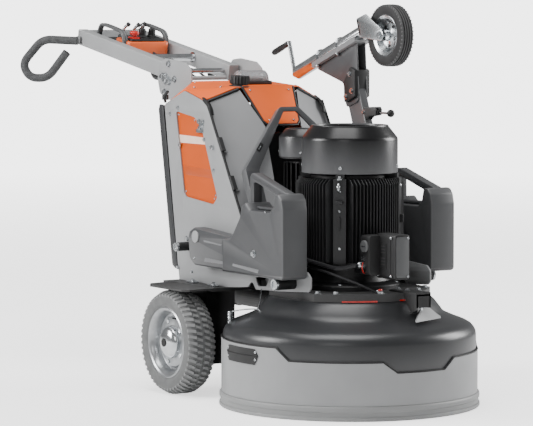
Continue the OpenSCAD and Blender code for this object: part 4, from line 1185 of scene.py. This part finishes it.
class GRINDER_OT_weights(bpy.types.Operator):
    """Cast swing-over weights with lifting windows, painted highlights along their pockets, pivots and their
    rubber stops
    """
    bl_idname = "grinder.weights"
    bl_label = "Weights"

    def execute(self, context):
        arm = [(505, 554), (535, 540), (543, 518), (534, 449), (502, 428), (100, 428), (100, 545),
               (240, 536)]
        block = [(250, 536), (205, 538), (188, 552), (142, 612), (128, 652), (104, 664), (76, 640),
                 (-40, 640),
                 (-62, 660), (-72, 700), (-96, 700), (-112, 682), (-120, 650), (-120, 436), (-112, 428),
                 (250, 428)]
        rounds = [4, 12, 14, 40, 14, 8, 14, 14, 10, 10, 14, 20, 30, 12, 12, 4]
        bar = rounded([(129, 640), (131, 744), (120, 756), (102, 757), (-90, 703), (-112, 682), (-112, 640)],
                      [4, 10, 8, 12, 16, 16, 4])
        window = rounded([(104, 652), (106, 730), (-72, 679), (-56, 652)], [10, 12, 12, 10])

        def weight(side):
            shape = Shape().slab([rounded(arm, [8, 12, 14, 24, 16, 4, 4, 20])], 50,
                                 side_at(side, WEIGHT_IN, 50), 5)
            shape.slab([bar, window], 34, side_at(side, WEIGHT_IN + 28, 34), 6)
            return shape.slab([rounded(block, rounds)], 95, side_at(side, WEIGHT_IN, 95), 7)

        both_sides("cast_weight", weight, painted_iron(), "weight_{}", "cast_weight", ["weight_{}"])

        def trims(side):
            shape = Shape()
            x = side * (WEIGHT_IN + 50)
            ring = facing((x, 490, 524), (side, 0, 0))
            shape.lathe([(10, 0), (19, 0), (19, 2.2), (17, 3), (12, 3), (10, 2.2)], ring, 40, True)
            shape.lathe([(0, 0), (8, 0), (6.5, 3), (0, 3)], ring, 6)
            shape.cap_screw((x, 500, 452), (side, 0, 0), 4, 3)
            shape.hex_bolt((side * (WEIGHT_IN + 95), 51, 501), (side, 0, 0), 9, 7)
            shape.hex_bolt((side * (WEIGHT_IN + 95), -20, 640), (side, 0, 0), 4.5, 3, False)
            return shape

        both_sides("weight_fittings", trims, zinc_plate(), "weight_{}", "zinc")

        # Painted highlights: thin mid grey slivers on the weights' outer faces stand in for light caught
        # along the edges of their pockets.
        def pocket_highlights(side):
            shape = Shape().slab([rounded([(430, 458), (250, 452), (262, 446), (436, 444)], 2)], 1.4,
                                 side_at(side, WEIGHT_IN + 49.8, 1.4), 0.4)
            shape.slab([rounded([(440, 517), (320, 510), (330, 505), (438, 510)], 2)], 1.4,
                       side_at(side, WEIGHT_IN + 49.8, 1.4), 0.4)
            shape.slab([rounded([(180, 460), (20, 452), (26, 440), (182, 452)], 3)], 1.4,
                       side_at(side, WEIGHT_IN + 94.8, 1.4), 0.4)
            return shape

        both_sides("weight_inlays", pocket_highlights, mid_coat(), "weight_{}", "mid_grey_paint")
        self.stops()
        return {"FINISHED"}

    def stops(self):
        rubber, steel = Shape(), Shape()
        for side in (-1, 1):
            for y, z, r, length in ((-30, 408, 19, 77), (626, 480, 15, 57)):
                at = facing((side * 235, y, z), (side, 0, 0))
                rubber.lathe([(0, 0), (r - 1, 0), (r, 2), (r, length - 14), (r - 1.5, length - 12),
                              (r - 1.5, length - 9),
                              (0, length - 9)], at, 40)
                steel.lathe([(0, length - 9), (r, length - 9), (r, length - 2), (r - 2, length),
                             (r * 0.55, length),
                             (r * 0.5, length - 3), (0, length - 3)], at, 40)
        rubber.piece("weight_stop_rubbers", seal_rubber(), "chassis", "rubber", ["bumpers"])
        steel.piece("weight_stop_caps", zinc_plate(), "chassis", "zinc")
        spring = Shape()
        for side in (-1, 1):
            x, y = side * 330, 205
            coil = []
            for k in range(12 * 8 + 1):
                a = 2 * math.pi * k / 12
                coil.append(Vector((x + 8 * math.cos(a), y + 8 * math.sin(a), 262 + 5.2 * k / 12)))
            spring.tube(coil, 1.7, 6)
            spring.tube(smooth_path([(x, y, 300), (x + side * -18, y - 60, 312), (side * 285, y - 100, 314),
                                     (side * 280, y - 108, 300)]), 2.4, 8)
            spring.tube(smooth_path([(side * 285, y - 100, 314), (side * 268, 120, 340),
                                     (side * 244, 150, 374)]), 2, 8)
            spring.hex_bolt((side * 283, y - 104, 292), (0, 0, 1), 8, 8, False)
            spring.lathe([(0, 0), (5, 0), (5, 40), (0, 40)], shift(x, y, 262), 16)
        spring.piece("skirt_springs", zinc_plate(), "chassis", "zinc")


# ---------------------------------------------------------------- the jockey wheel

class GRINDER_OT_jockey(bpy.types.Operator):
    """Post, saddle, chromed tube, U-bolts, fork, wheel, crank and lock of the jockey wheel"""
    bl_idname = "grinder.jockey"
    bl_label = "Jockey wheel"

    def execute(self, context):
        x = 205
        post = Shape().slab([rounded([(-15, -40), (15, -40), (15, 40), (-15, 40)], 5)], 640, POST, 1.5)
        post.lathe([(8.05, -15), (38, -15), (40, -13), (40, 13), (38, 15), (8.05, 15)],
                   POST @ turn(90, "Y"), 48, True)
        cheek = rounded([(226, 975), (300, 952), (318, 1035), (474, 1077), (480, 1088), (240, 1173)],
                        [20, 14, 20, 10, 4, 6])
        for start in (-19, 14):
            post.slab([cheek], 5, shift(x + start, 0, 0) @ SIDE, 1)
        post.piece("jockey_post_section", dark_coat(), "jockey_arm", "dark_grey_paint", (), 0, 34)
        clamp = Shape().slab([rounded([(232, 990), (296, 968), (300, 1040), (262, 1090),
                                       (232, 1080)], 8)], 62,
                             shift(x - 31, 0, 0) @ SIDE, 3)
        clamp.piece("jockey_clamp_block", black_nylon(), "jockey_arm", "dark_grey_paint")
        saddle = Shape().slab([rounded([(-34, -420), (34, -420), (34, -140), (-34, -140)], 6)], 5,
                              TUBE @ shift(0, 0, -29), 1)
        for s in (-1, 1):
            saddle.block((s * 33 - 2, -418, -29), (s * 33 + 2, -142, -12), TUBE)
        saddle.piece("jockey_saddle", mid_coat(), "jockey_arm", "grey_paint", ["jockey_post"], 1.2)
        self.tube()
        self.fork(x)
        self.wheel(x)
        self.crank()
        self.lock(x)
        return {"FINISHED"}

    def tube(self):
        at = TUBE @ turn(90, "X")
        shape = Shape().lathe([(6.1, -0.5), (22, -0.5), (24, 1.5), (24, 453), (23, 455), (21, 455),
                               (21, 10), (6.1, 10)], at, 64, True)
        shape.lathe([(20.8, 452), (26, 452), (26, 462), (20.8, 462)], at, 48, True)
        for y in (-293, -166):
            arc = [Vector((26.6 * math.cos(t), y, 26.6 * math.sin(t))) for t in
                   [math.pi * k / 20 for k in range(21)]]
            path = [Vector((26.6, y, -38))] + arc + [Vector((-26.6, y, -38))]
            shape.tube(path, 3, 10, place=TUBE)
            for s in (-1, 1):
                shape.hex_bolt(TUBE @ Vector((s * 26.6, y, -29)), TUBE.to_3x3() @ Vector((0, 0, -1)), 6.5, 6)
        shape.piece("jockey_outer_tube", chrome_tube(), "jockey_arm", "zinc", ["jockey_tube"], 0, 34)
        bolts = Shape()
        for s in (-1, 1):
            for p in ((250, 1010), (284, 990), (262, 1066)):
                bolts.hex_bolt((205 + s * 31, *p), (s, 0, 0), 7, 5)
        bolts.piece("jockey_clamp_bolts", zinc_plate(), "jockey_arm", "zinc")

    def fork(self, x):
        at = TUBE @ turn(90, "X")
        shape = Shape().lathe([(0, 250), (20.4, 250), (20.4, 478), (0, 478)], at, 48)
        shape.slab([rounded([(-43, -30), (43, -30), (43, 36), (-43, 36)], 6)], 8,
                   TUBE @ shift(0, -462, 0) @ turn(90, "X"), 1.5)
        arms = rounded([(207, 1251), (150, 1268), (58, 1217), (47, 1200), (58, 1178), (185, 1189)],
                       [8, 10, 14, 18, 14, 8])
        for start in (-43, 40):
            shape.slab([arms], 3, shift(x + start, 0, 0) @ SIDE, 0.7)
        axle = facing((x - 48, 66, 1197), (1, 0, 0))
        shape.lathe([(0, 0), (6, 0), (6, 96), (0, 96)], axle, 24)
        for s in (-1, 1):
            shape.hex_bolt((x + s * 43, 66, 1197), (s, 0, 0), 10, 8)
        shape.piece("jockey_fork_plates", zinc_plate(), "jockey_fork", "zinc", ["jockey_fork"], 0, 34)

    def wheel(self, x):
        at = shift(x, 66, 1197) @ turn(90, "Y")
        profile = [(66, -21), (72, -23), (89, -25), (96, -23.5)]
        grooves = []
        for w in (-18, -9, 0, 9, 18):
            grooves += [(101.6 if abs(w) == 18 else 102.8, w - 3.2),
                        (102.8 if abs(w) < 18 else 101.8, w + 1.8),
                        (99.6, w + 2.4), (99.6, w + 4.6)]
        profile += grooves[:-2] + [(96, 23.5), (89, 25), (72, 23), (66, 21)]
        tyre = Shape().lathe(profile, at, 96, True)
        for k in range(48):
            for w in (-24, 14):
                tyre.block((96, -1.6, w), (101.4, 1.6, w + 9), at @ turn(7.5 * k, "Z"))
        tyre.piece("jockey_ribbed_tyre", jockey_rubber(), "jockey_wheel", "dark_tyre", ["jockey_tyre"], 0,
                   30)
        disc = Shape()
        hub = [(6.1, -30), (16, -30), (18, -28), (18, -8), (24, -5), (42, -4), (50, -12), (56, -20),
               (66.5, -23),
               (68, -21), (66.5, -18), (60, -16), (60, 16), (66.5, 18), (68, 21), (66.5, 23), (56, 20),
               (50, 12),
               (42, 4), (24, 5), (18, 8), (18, 28), (16, 30), (6.1, 30)]
        disc.lathe(hub, at, 72, True)
        disc.piece("jockey_pressed_rim", zinc_plate(), "jockey_wheel", "zinc", ["jockey_rim"], 0, 30)
        # Painted shade: black discs, in the black rubber finish, stand in for the shade seen through the
        # rim's five holes; the rim under them is solid.
        holes = Shape()
        for k in range(5):
            for s in (-1, 1):
                holes.lathe([(0, 0), (7, 0), (7, 0.6), (0, 0.6)],
                            at @ turn(72 * k, "Z") @ shift(33, 0, s * 4.4 - (0.3 if s > 0 else 0.3)), 20)
        holes.piece("jockey_rim_hole_shade", seal_rubber(), "jockey_wheel", "rubber")

    def crank(self):
        at = TUBE @ turn(90, "X")
        rod = Shape().lathe([(0, -24), (9, -24), (9, -10), (6, -10), (6, 18), (0, 18)], at, 32)
        rod.slab([rounded([(-8, -8), (8, -8), (8, 122), (-8, 122)], 7)], 6,
                 TUBE @ shift(0, 21, 0) @ turn(90, "X"), 1)
        rod.lathe([(0, 20), (4, 20), (4, 128), (0, 128)], TUBE @ shift(0, 0, 115) @ turn(-90, "X"), 20)
        rod.piece("jockey_crank_arm", zinc_plate(), "jockey_crank", "zinc", ["jockey_crank"])
        grip = Shape().lathe([(4.2, 26), (8.5, 26), (10.5, 30), (9.6, 50), (11, 80), (10.6, 120),
                              (8.5, 127), (4.2, 127)],
                             TUBE @ shift(0, 0, 115) @ turn(-90, "X"), 32, True)
        grip.piece("jockey_crank_grip", black_nylon(), "jockey_crank", "black_plastic")

    def lock(self, x):
        lever = rounded([(132, 952), (140, 960), (228, 956), (228, 922), (196, 912), (176, 926), (134, 932)],
                        [3, 6, 4, 6, 10, 10, 4])
        housing = Shape()
        for start in (-13, 9):
            housing.slab([lever], 4, shift(x + start, 0, 0) @ SIDE, 0.8)
        housing.block((x - 12, 150, 952), (x + 12, 225, 956)).block((x - 9, 186, 924), (x + 9, 200, 954))
        housing.lathe([(4.2, 0), (9, 0), (9, 26), (4.2, 26)], facing((x, 128, 940), (0, 1, 0)), 24, True)
        housing.piece("jockey_lock_housing", black_coat(), "jockey_arm", "dark_grey_paint", (), 1.2)
        pins = Shape().hex_bolt((x - 13, 205, 940), (-1, 0, 0), 6, 4).hex_bolt((x + 13, 205, 940),
                                                                               (1, 0, 0), 6, 4)
        pins.piece("jockey_lock_bolts", zinc_plate(), "jockey_arm", "zinc")
        rod = Shape().lathe([(0, 0), (3.9, 0), (3.9, 104), (0, 104)], facing((x, 76, 940), (0, 1, 0)), 20)
        rod.piece("lock_rod", zinc_plate(), "lock_knob", "zinc")
        ball = Shape().lathe([(0, -13), (5, -12), (9.2, -9.2), (12, -5), (13, 0), (12, 5), (9.2, 9.2),
                              (6, 12), (5.5, 15),
                              (0, 15)], facing((x, 64, 940), (0, 1, 0)), 32)
        ball.piece("lock_ball", black_nylon(), "lock_knob", "black_plastic", ["lock_knob"], 0, 50)


# ---------------------------------------------------------------- the handle

class GRINDER_OT_handle(bpy.types.Operator):
    """Hinge plates, box-section arms, crossbars, control box, controls, guard loops and grips"""
    bl_idname = "grinder.handle"
    bl_label = "Handle"

    def execute(self, context):
        outline = rounded([(759, 1036), (766, 1076), (802, 1098), (910, 1109), (962, 1104), (992, 1070),
                           (991, 1030),
                           (977, 988), (925, 968), (795, 957)], [14, 20, 24, 40, 24, 24, 30, 24, 24, 16])
        plates = Shape()
        for side in (-1, 1):
            plates.slab([outline], 6, side_at(side, 141, 6), 1.2)
            plates.slab([rounded([(744, 1000), (800, 958), (800, 1040), (770, 1044)], 8)], 5,
                        side_at(side, 141, 5), 1)
        plates.lathe([(0, -153), (8, -153), (8, 153), (0, 153)], shift(0, 934, 1040) @ turn(90, "Y"), 32)
        plates.piece("hinge_cheeks", light_coat(), "chassis", "grey_paint", ["hinge_plates"])
        pivots = Shape()
        for side in (-1, 1):
            for p, r in (((934, 1040), 15), ((956, 1048), 10), ((910, 1032), 11)):
                pivots.hex_bolt((side * 147, *p), (side, 0, 0), r, 9 if r > 9 else 6)
        pivots.piece("hinge_pivot_bolts", zinc_plate(), "chassis", "zinc")
        self.arms()
        self.controls()
        self.grips()
        return {"FINISHED"}

    def arms(self):
        shape = Shape()
        section = rounded([(-20, -28), (20, -28), (20, 28), (-20, 28)], 5)
        along = ARM @ turn(-90, "X")
        for side in (-1, 1):
            shape.slab([section], 700, along @ shift(side * 115, 28, 0), 1.2)
        shape.block((-96, 693, -55), (96, 700, -2), ARM).block((-96, 396, -48), (96, 640, -43), ARM)
        shape.piece("handle_arms", light_coat(), "handle", "grey_paint", ["handle_frame"], 0.8, 34)
        bars = Shape().lathe([(0, 0), (13, 0), (13, 190), (0, 190)],
                             ARM @ shift(-95, 250, -20) @ turn(90, "Y"), 40)
        for side in (-1, 1):
            bars.lathe([(0, 0), (19, 0), (19, 5), (0, 5)],
                       ARM @ shift(side * 95, 250, -20) @ turn(-90 * side, "Y"), 40)
        bars.lathe([(0, 0), (9, 0), (9, 190), (0, 190)], ARM @ shift(-95, 36, -26) @ turn(90, "Y"), 32)
        bars.piece("handle_crossbars", chrome_tube(), "handle", "zinc")
        wires = Shape()
        for x0, x1, drop in ((-60, -44, 0), (-30, -16, -6), (10, 26, -4)):
            path = smooth_path([(x0, 390, -30), (x1, 320, -46 + drop), (x0 + 8, 230, -44 + drop),
                                (x1, 120, -40),
                                (x0, 20, -44)], 8)
            wires.tube(path, 4.2, 10, place=ARM)
        wires.piece("handle_cables", cable_sheath(), "handle", "cable_sheath")
        ends = Shape()
        for side in (-1, 1):
            ends.slab([rounded([(-20, -28), (20, -28), (20, 28), (-20, 28)], 5)], 2,
                      along @ shift(side * 115, 28, 699.5), 0.6)
            ends.lathe([(0, 0), (15, 0), (15, 16), (12, 20), (0, 20)],
                       facing((side * 134, 1578, 1166), (side, 1, 0.05)), 32)
        ends.piece("handle_end_caps", grey_nylon(), "handle", "black_plastic")
        stop = Shape().lathe([(0, 0), (14, 0), (14, 10), (9, 14), (0, 14)],
                             ARM @ shift(-115, 150, -56) @ turn(180, "X"), 24)
        stop.lathe([(0, 0), (14, 0), (14, 10), (9, 14), (0, 14)],
                   ARM @ shift(115, 150, -56) @ turn(180, "X"), 24)
        stop.piece("handle_rest_pads", seal_rubber(), "handle", "rubber")

    def controls(self):
        top = Shape().slab([rounded([(-84, 408), (84, 408), (84, 512), (-84, 512)], 14)], 49,
                           ARM @ shift(0, 0, -43), 6)
        top.piece("control_box_shell", orange_abs(), "handle", "orange_plastic", ["control_box"])
        deck = Shape().slab([rounded([(-70, 416), (70, 416), (70, 502), (-70, 502)], 10)], 9,
                            ARM @ shift(0, 0, 5.2), 2)
        for x in (-20, 20):
            deck.block((x - 6, 424, 13), (x + 6, 436, 17), ARM)
        deck.piece("control_box_deck", black_nylon(), "handle", "black_plastic", (), 0.6)
        collar = Shape().lathe([(10.6, 0), (22, 0), (22, 3), (19, 5), (10.6, 5)],
                               ARM @ shift(-44, 446, 14.3), 40, True)
        collar.piece("stop_button_collar", red_abs(), "handle", "red_plastic")
        button = Shape().lathe([(0, 6.5), (10, 6.5), (10, 12), (17, 13), (18, 17), (17, 22),
                                (12, 25.5), (0, 26.5)],
                               ARM @ shift(-44, 446, 14.3), 40)
        button.piece("stop_button_mushroom", red_abs(), "estop", "red_plastic", ["estop_button"], 0, 40)
        for name, x, body in (("speed", 0, "speed_knob"), ("mode", 40, "mode_knob")):
            at = ARM @ shift(x, 466, 14.3)
            knob = Shape().lathe([(0, 0), (15, 0), (15, 4), (12.4, 7), (12, 28), (10.5, 31),
                                  (0, 31)], at, 36)
            for k in range(12):
                knob.block((11.4, -1.2, 7), (13.2, 1.2, 27), at @ turn(30 * k, "Z"))
            knob.block((-1.2, 2, 30.5), (1.2, 11, 32), at)
            knob.piece(f"{name}_knob_fluted", black_nylon(), body, "black_plastic", [f"{name}_knob"], 0.3)
        sticks = Shape()
        for x, y in ((-26, 560), (10, 548), (46, 566)):
            at = ARM @ shift(x, y, 0)
            sticks.lathe([(0, -10), (13, -10), (13, 8), (10, 12), (7, 14), (7, 24), (0, 24)], at, 28)
            sticks.tube(smooth_path([(0, 0, 22), (4, -4, 34), (13, -6, 42)]), 5.5, 12, place=at)
        sticks.piece("switch_levers", chrome_tube(), "handle", "zinc")
        boots = Shape()
        for x, y in ((-26, 560), (10, 548), (46, 566)):
            at = ARM @ shift(x, y, 0)
            boots.lathe([(14, -10), (18, -10), (18, 2), (14, 6)], at, 28, True)
            boots.lathe([(0, 0), (7.5, 0), (8.5, 5), (7.5, 12), (0, 14)],
                        at @ shift(12, -6, 40) @ turn(40, "Y"), 24)
        boots.slab([rounded([(-76, 524), (76, 524), (76, 596), (-76, 596)], 8)], 34, ARM @ shift(0, 0, -43),
                   3)
        boots.piece("switch_boots", black_nylon(), "handle", "black_plastic")
        loops = Shape()
        for side in (-1, 1):
            path = [(side * 86, 432, -24), (side * 86, 438, 10), (side * 86, 458, 32), (side * 86, 500, 37),
                    (side * 86, 590, 37), (side * 86, 616, 28), (side * 86, 628, -2), (side * 86, 630, -24)]
            for off in (-5, 5):
                loops.tube([Vector(p) + Vector((off, 0, 0)) for p in smooth_path(path, 5)], 6, 12, place=ARM)
        loops.piece("control_guard_loops", grey_nylon(), "handle", "black_plastic")

    def grips(self):
        plan = [(0, 1164), (136, 1170), (214, 1080), (186, 1027), (116, 1027), (42, 1123)]
        splay = math.radians(45)
        shape = Shape()
        for side in (-1, 1):
            corners = [Vector((side * (146.2 + s * math.sin(splay)), 1580 + s * math.cos(splay), z)) for s,
                       z in plan]
            path = [corners[0]]
            for i in range(1, len(corners) - 1):
                back, here, ahead = corners[i - 1], corners[i], corners[i + 1]
                a = here + (back - here).normalized() * min(34, (back - here).length * 0.45)
                b = here + (ahead - here).normalized() * min(34, (ahead - here).length * 0.45)
                for k in range(9):
                    t = k / 8
                    path.append(a * (1 - t) ** 2 + here * 2 * t * (1 - t) + b * t * t)
            path.append(corners[-1])
            shape.tube(path, 15.3, 20)
        shape.piece("foam_grips", grip_foam(), "handle", "foam", ["grips"], 1.5, 50)


# ---------------------------------------------------------------- the frame's own parts

FRAME_FINISHES = {
    "base_plate": black_coat, "bearing_housing": machined_steel, "small_motor_body": motor_enamel,
    "motor_cable": cable_sheath, "sensor_cable": cable_sheath, "deck_plate": black_coat,
    "gearboxes": black_coat,
    "hose_port": black_nylon, "electronics_box": black_nylon, "rear_panel": black_coat,
    "planetary_disc": machined_steel, "grinding_disc_1": machined_steel, "grinding_disc_2": machined_steel,
    "grinding_disc_3": machined_steel, "main_rotor": machined_steel, "main_fan": black_nylon,
    "small_rotor": machined_steel,
}


class GRINDER_OT_frame_finishes(bpy.types.Operator):
    """Finishes of the frame's own parts that show as they are"""
    bl_idname = "grinder.frame_finishes"
    bl_label = "Frame finishes"

    def execute(self, context):
        for name, finish in FRAME_FINISHES.items():
            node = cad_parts[name]
            node.data.materials.clear()
            node.data.materials.append(finish())
        return {"FINISHED"}


# ---------------------------------------------------------------- the studio

EYE = (-5140.08, -7675.10, 1306.87)
EYE_TURN, EYE_DIP = 32.1335, 4.2383
LENS = 192.33
FLOOR_HALF = 40
# Strength of the white surroundings, as they light the machine and as the camera sees them.
WORLD_LIGHT, WORLD_SEEN = 0.26, 4.2
# Name, place and width in metres, and power in watts, of each soft light.
SOFTBOXES = (
    ("left_softbox", (-4.6, 1.6, 2.6), 2.2, 260),
    ("right_softbox", (4.2, -1.3, 2.0), 2.0, 190),
    ("overhead_softbox", (-0.6, -0.6, 5.2), 3.4, 230),
    ("front_fill", (-4.4, -4.6, 3.0), 2.4, 42),
)


class GRINDER_OT_stage(bpy.types.Operator):
    """Pale floor, soft lights and the camera"""
    bl_idname = "grinder.stage"
    bl_label = "Studio"

    def execute(self, context):
        data = bpy.data.cameras.new("studio_camera")
        data.lens, data.sensor_width, data.clip_end = LENS, 36, 100
        camera = bpy.data.objects.new("studio_camera", data)
        camera.location = HEAD @ Vector(EYE)
        camera.rotation_euler = (math.radians(90 - EYE_DIP), 0, math.radians(-EYE_TURN))
        context.scene.collection.objects.link(camera)
        context.scene.camera = camera
        floor = bpy.data.meshes.new("studio_floor")
        size = FLOOR_HALF
        floor.from_pydata([(-size, -size, 0), (size, -size, 0), (size, size, 0), (-size, size, 0)], [],
                          [(0, 1, 2, 3)])
        ground = bpy.data.objects.new("studio_floor", floor)
        floor.materials.append(self.paper())
        context.scene.collection.objects.link(ground)
        for softbox in SOFTBOXES:
            self.light(*softbox)
        world = bpy.data.worlds.new("studio_world")
        world.use_nodes = True
        tree = world.node_tree
        seen = add(tree, "ShaderNodeLightPath")
        strength = add(
            tree, "ShaderNodeMapRange", {"To Min": WORLD_LIGHT, "To Max": WORLD_SEEN},
            {"Value": seen.outputs["Is Camera Ray"]})
        tree.nodes["Background"].inputs["Color"].default_value = (1, 1, 1, 1)
        tree.links.new(strength.outputs["Result"], tree.nodes["Background"].inputs["Strength"])
        context.scene.world = world
        return {"FINISHED"}

    def paper(self):
        """White paper that glows towards the horizon, so floor and backdrop meet unseen."""
        made = surface("studio_paper", linear("#FFFFFF"), linear("#FCFCFC"), 900, 5, 0.02, 0.9)
        tree = made.node_tree
        place = add(tree, "ShaderNodeTexCoord").outputs["Object"]
        away = add(tree, "ShaderNodeVectorMath", {"operation": "LENGTH"})
        tree.links.new(place, away.inputs[0])
        glow = add(
            tree, "ShaderNodeMapRange", {"From Min": 1.0, "From Max": 12.0, "To Min": 1.3, "To Max": 3.9},
            {"Value": away.outputs["Value"]})
        seen = add(tree, "ShaderNodeLightPath")
        both = add(tree, "ShaderNodeMath", {"operation": "MULTIPLY"})
        tree.links.new(glow.outputs["Result"], both.inputs[0])
        tree.links.new(seen.outputs["Is Camera Ray"], both.inputs[1])
        skin = next(n for n in tree.nodes if n.type == "BSDF_PRINCIPLED")
        skin.inputs["Emission Color"].default_value = (1, 1, 1, 1)
        tree.links.new(both.outputs["Value"], skin.inputs["Emission Strength"])
        return made

    def light(self, name, at, size, power):
        data = bpy.data.lights.new(name, "AREA")
        data.size, data.energy = size, power
        lamp = bpy.data.objects.new(name, data)
        lamp.location = at
        lamp.rotation_euler = (Vector((0, 0, 0.5)) - Vector(at)).to_track_quat("-Z", "Y").to_euler()
        bpy.context.scene.collection.objects.link(lamp)


class GRINDER_PT_panel(bpy.types.Panel):
    """Lists the builders of the machine's pieces"""
    bl_label = "Floor grinder"
    bl_idname = "GRINDER_PT_panel"
    bl_space_type = "VIEW_3D"
    bl_region_type = "UI"
    bl_category = "Grinder"

    def draw(self, context):
        for builder in BUILDERS:
            self.layout.operator(builder.bl_idname)
        for group in (context.scene.grinder_sizes, context.scene.grinder_colours):
            for key in group.__annotations__:
                self.layout.prop(group, key)


BUILDERS = (
    GRINDER_OT_stage, GRINDER_OT_frame_finishes, GRINDER_OT_skirt, GRINDER_OT_head, GRINDER_OT_main_motor,
    GRINDER_OT_small_motor, GRINDER_OT_chassis, GRINDER_OT_hood, GRINDER_OT_wheels, GRINDER_OT_weights,
    GRINDER_OT_jockey, GRINDER_OT_handle,
)
CLASSES = (GrinderColours, GrinderSizes, *BUILDERS, GRINDER_PT_panel)


def register():
    for item in CLASSES:
        bpy.utils.register_class(item)
    bpy.types.Scene.grinder_colours = PointerProperty(type=GrinderColours)
    bpy.types.Scene.grinder_sizes = PointerProperty(type=GrinderSizes)


def unregister():
    del bpy.types.Scene.grinder_sizes
    del bpy.types.Scene.grinder_colours
    for item in reversed(CLASSES):
        bpy.utils.unregister_class(item)


def main():
    register()
    for builder in BUILDERS:
        group, name = builder.bl_idname.split(".")
        getattr(getattr(bpy.ops, group), name)()
    bpy.context.view_layer.update()


if __name__ == "__main__":
    main()
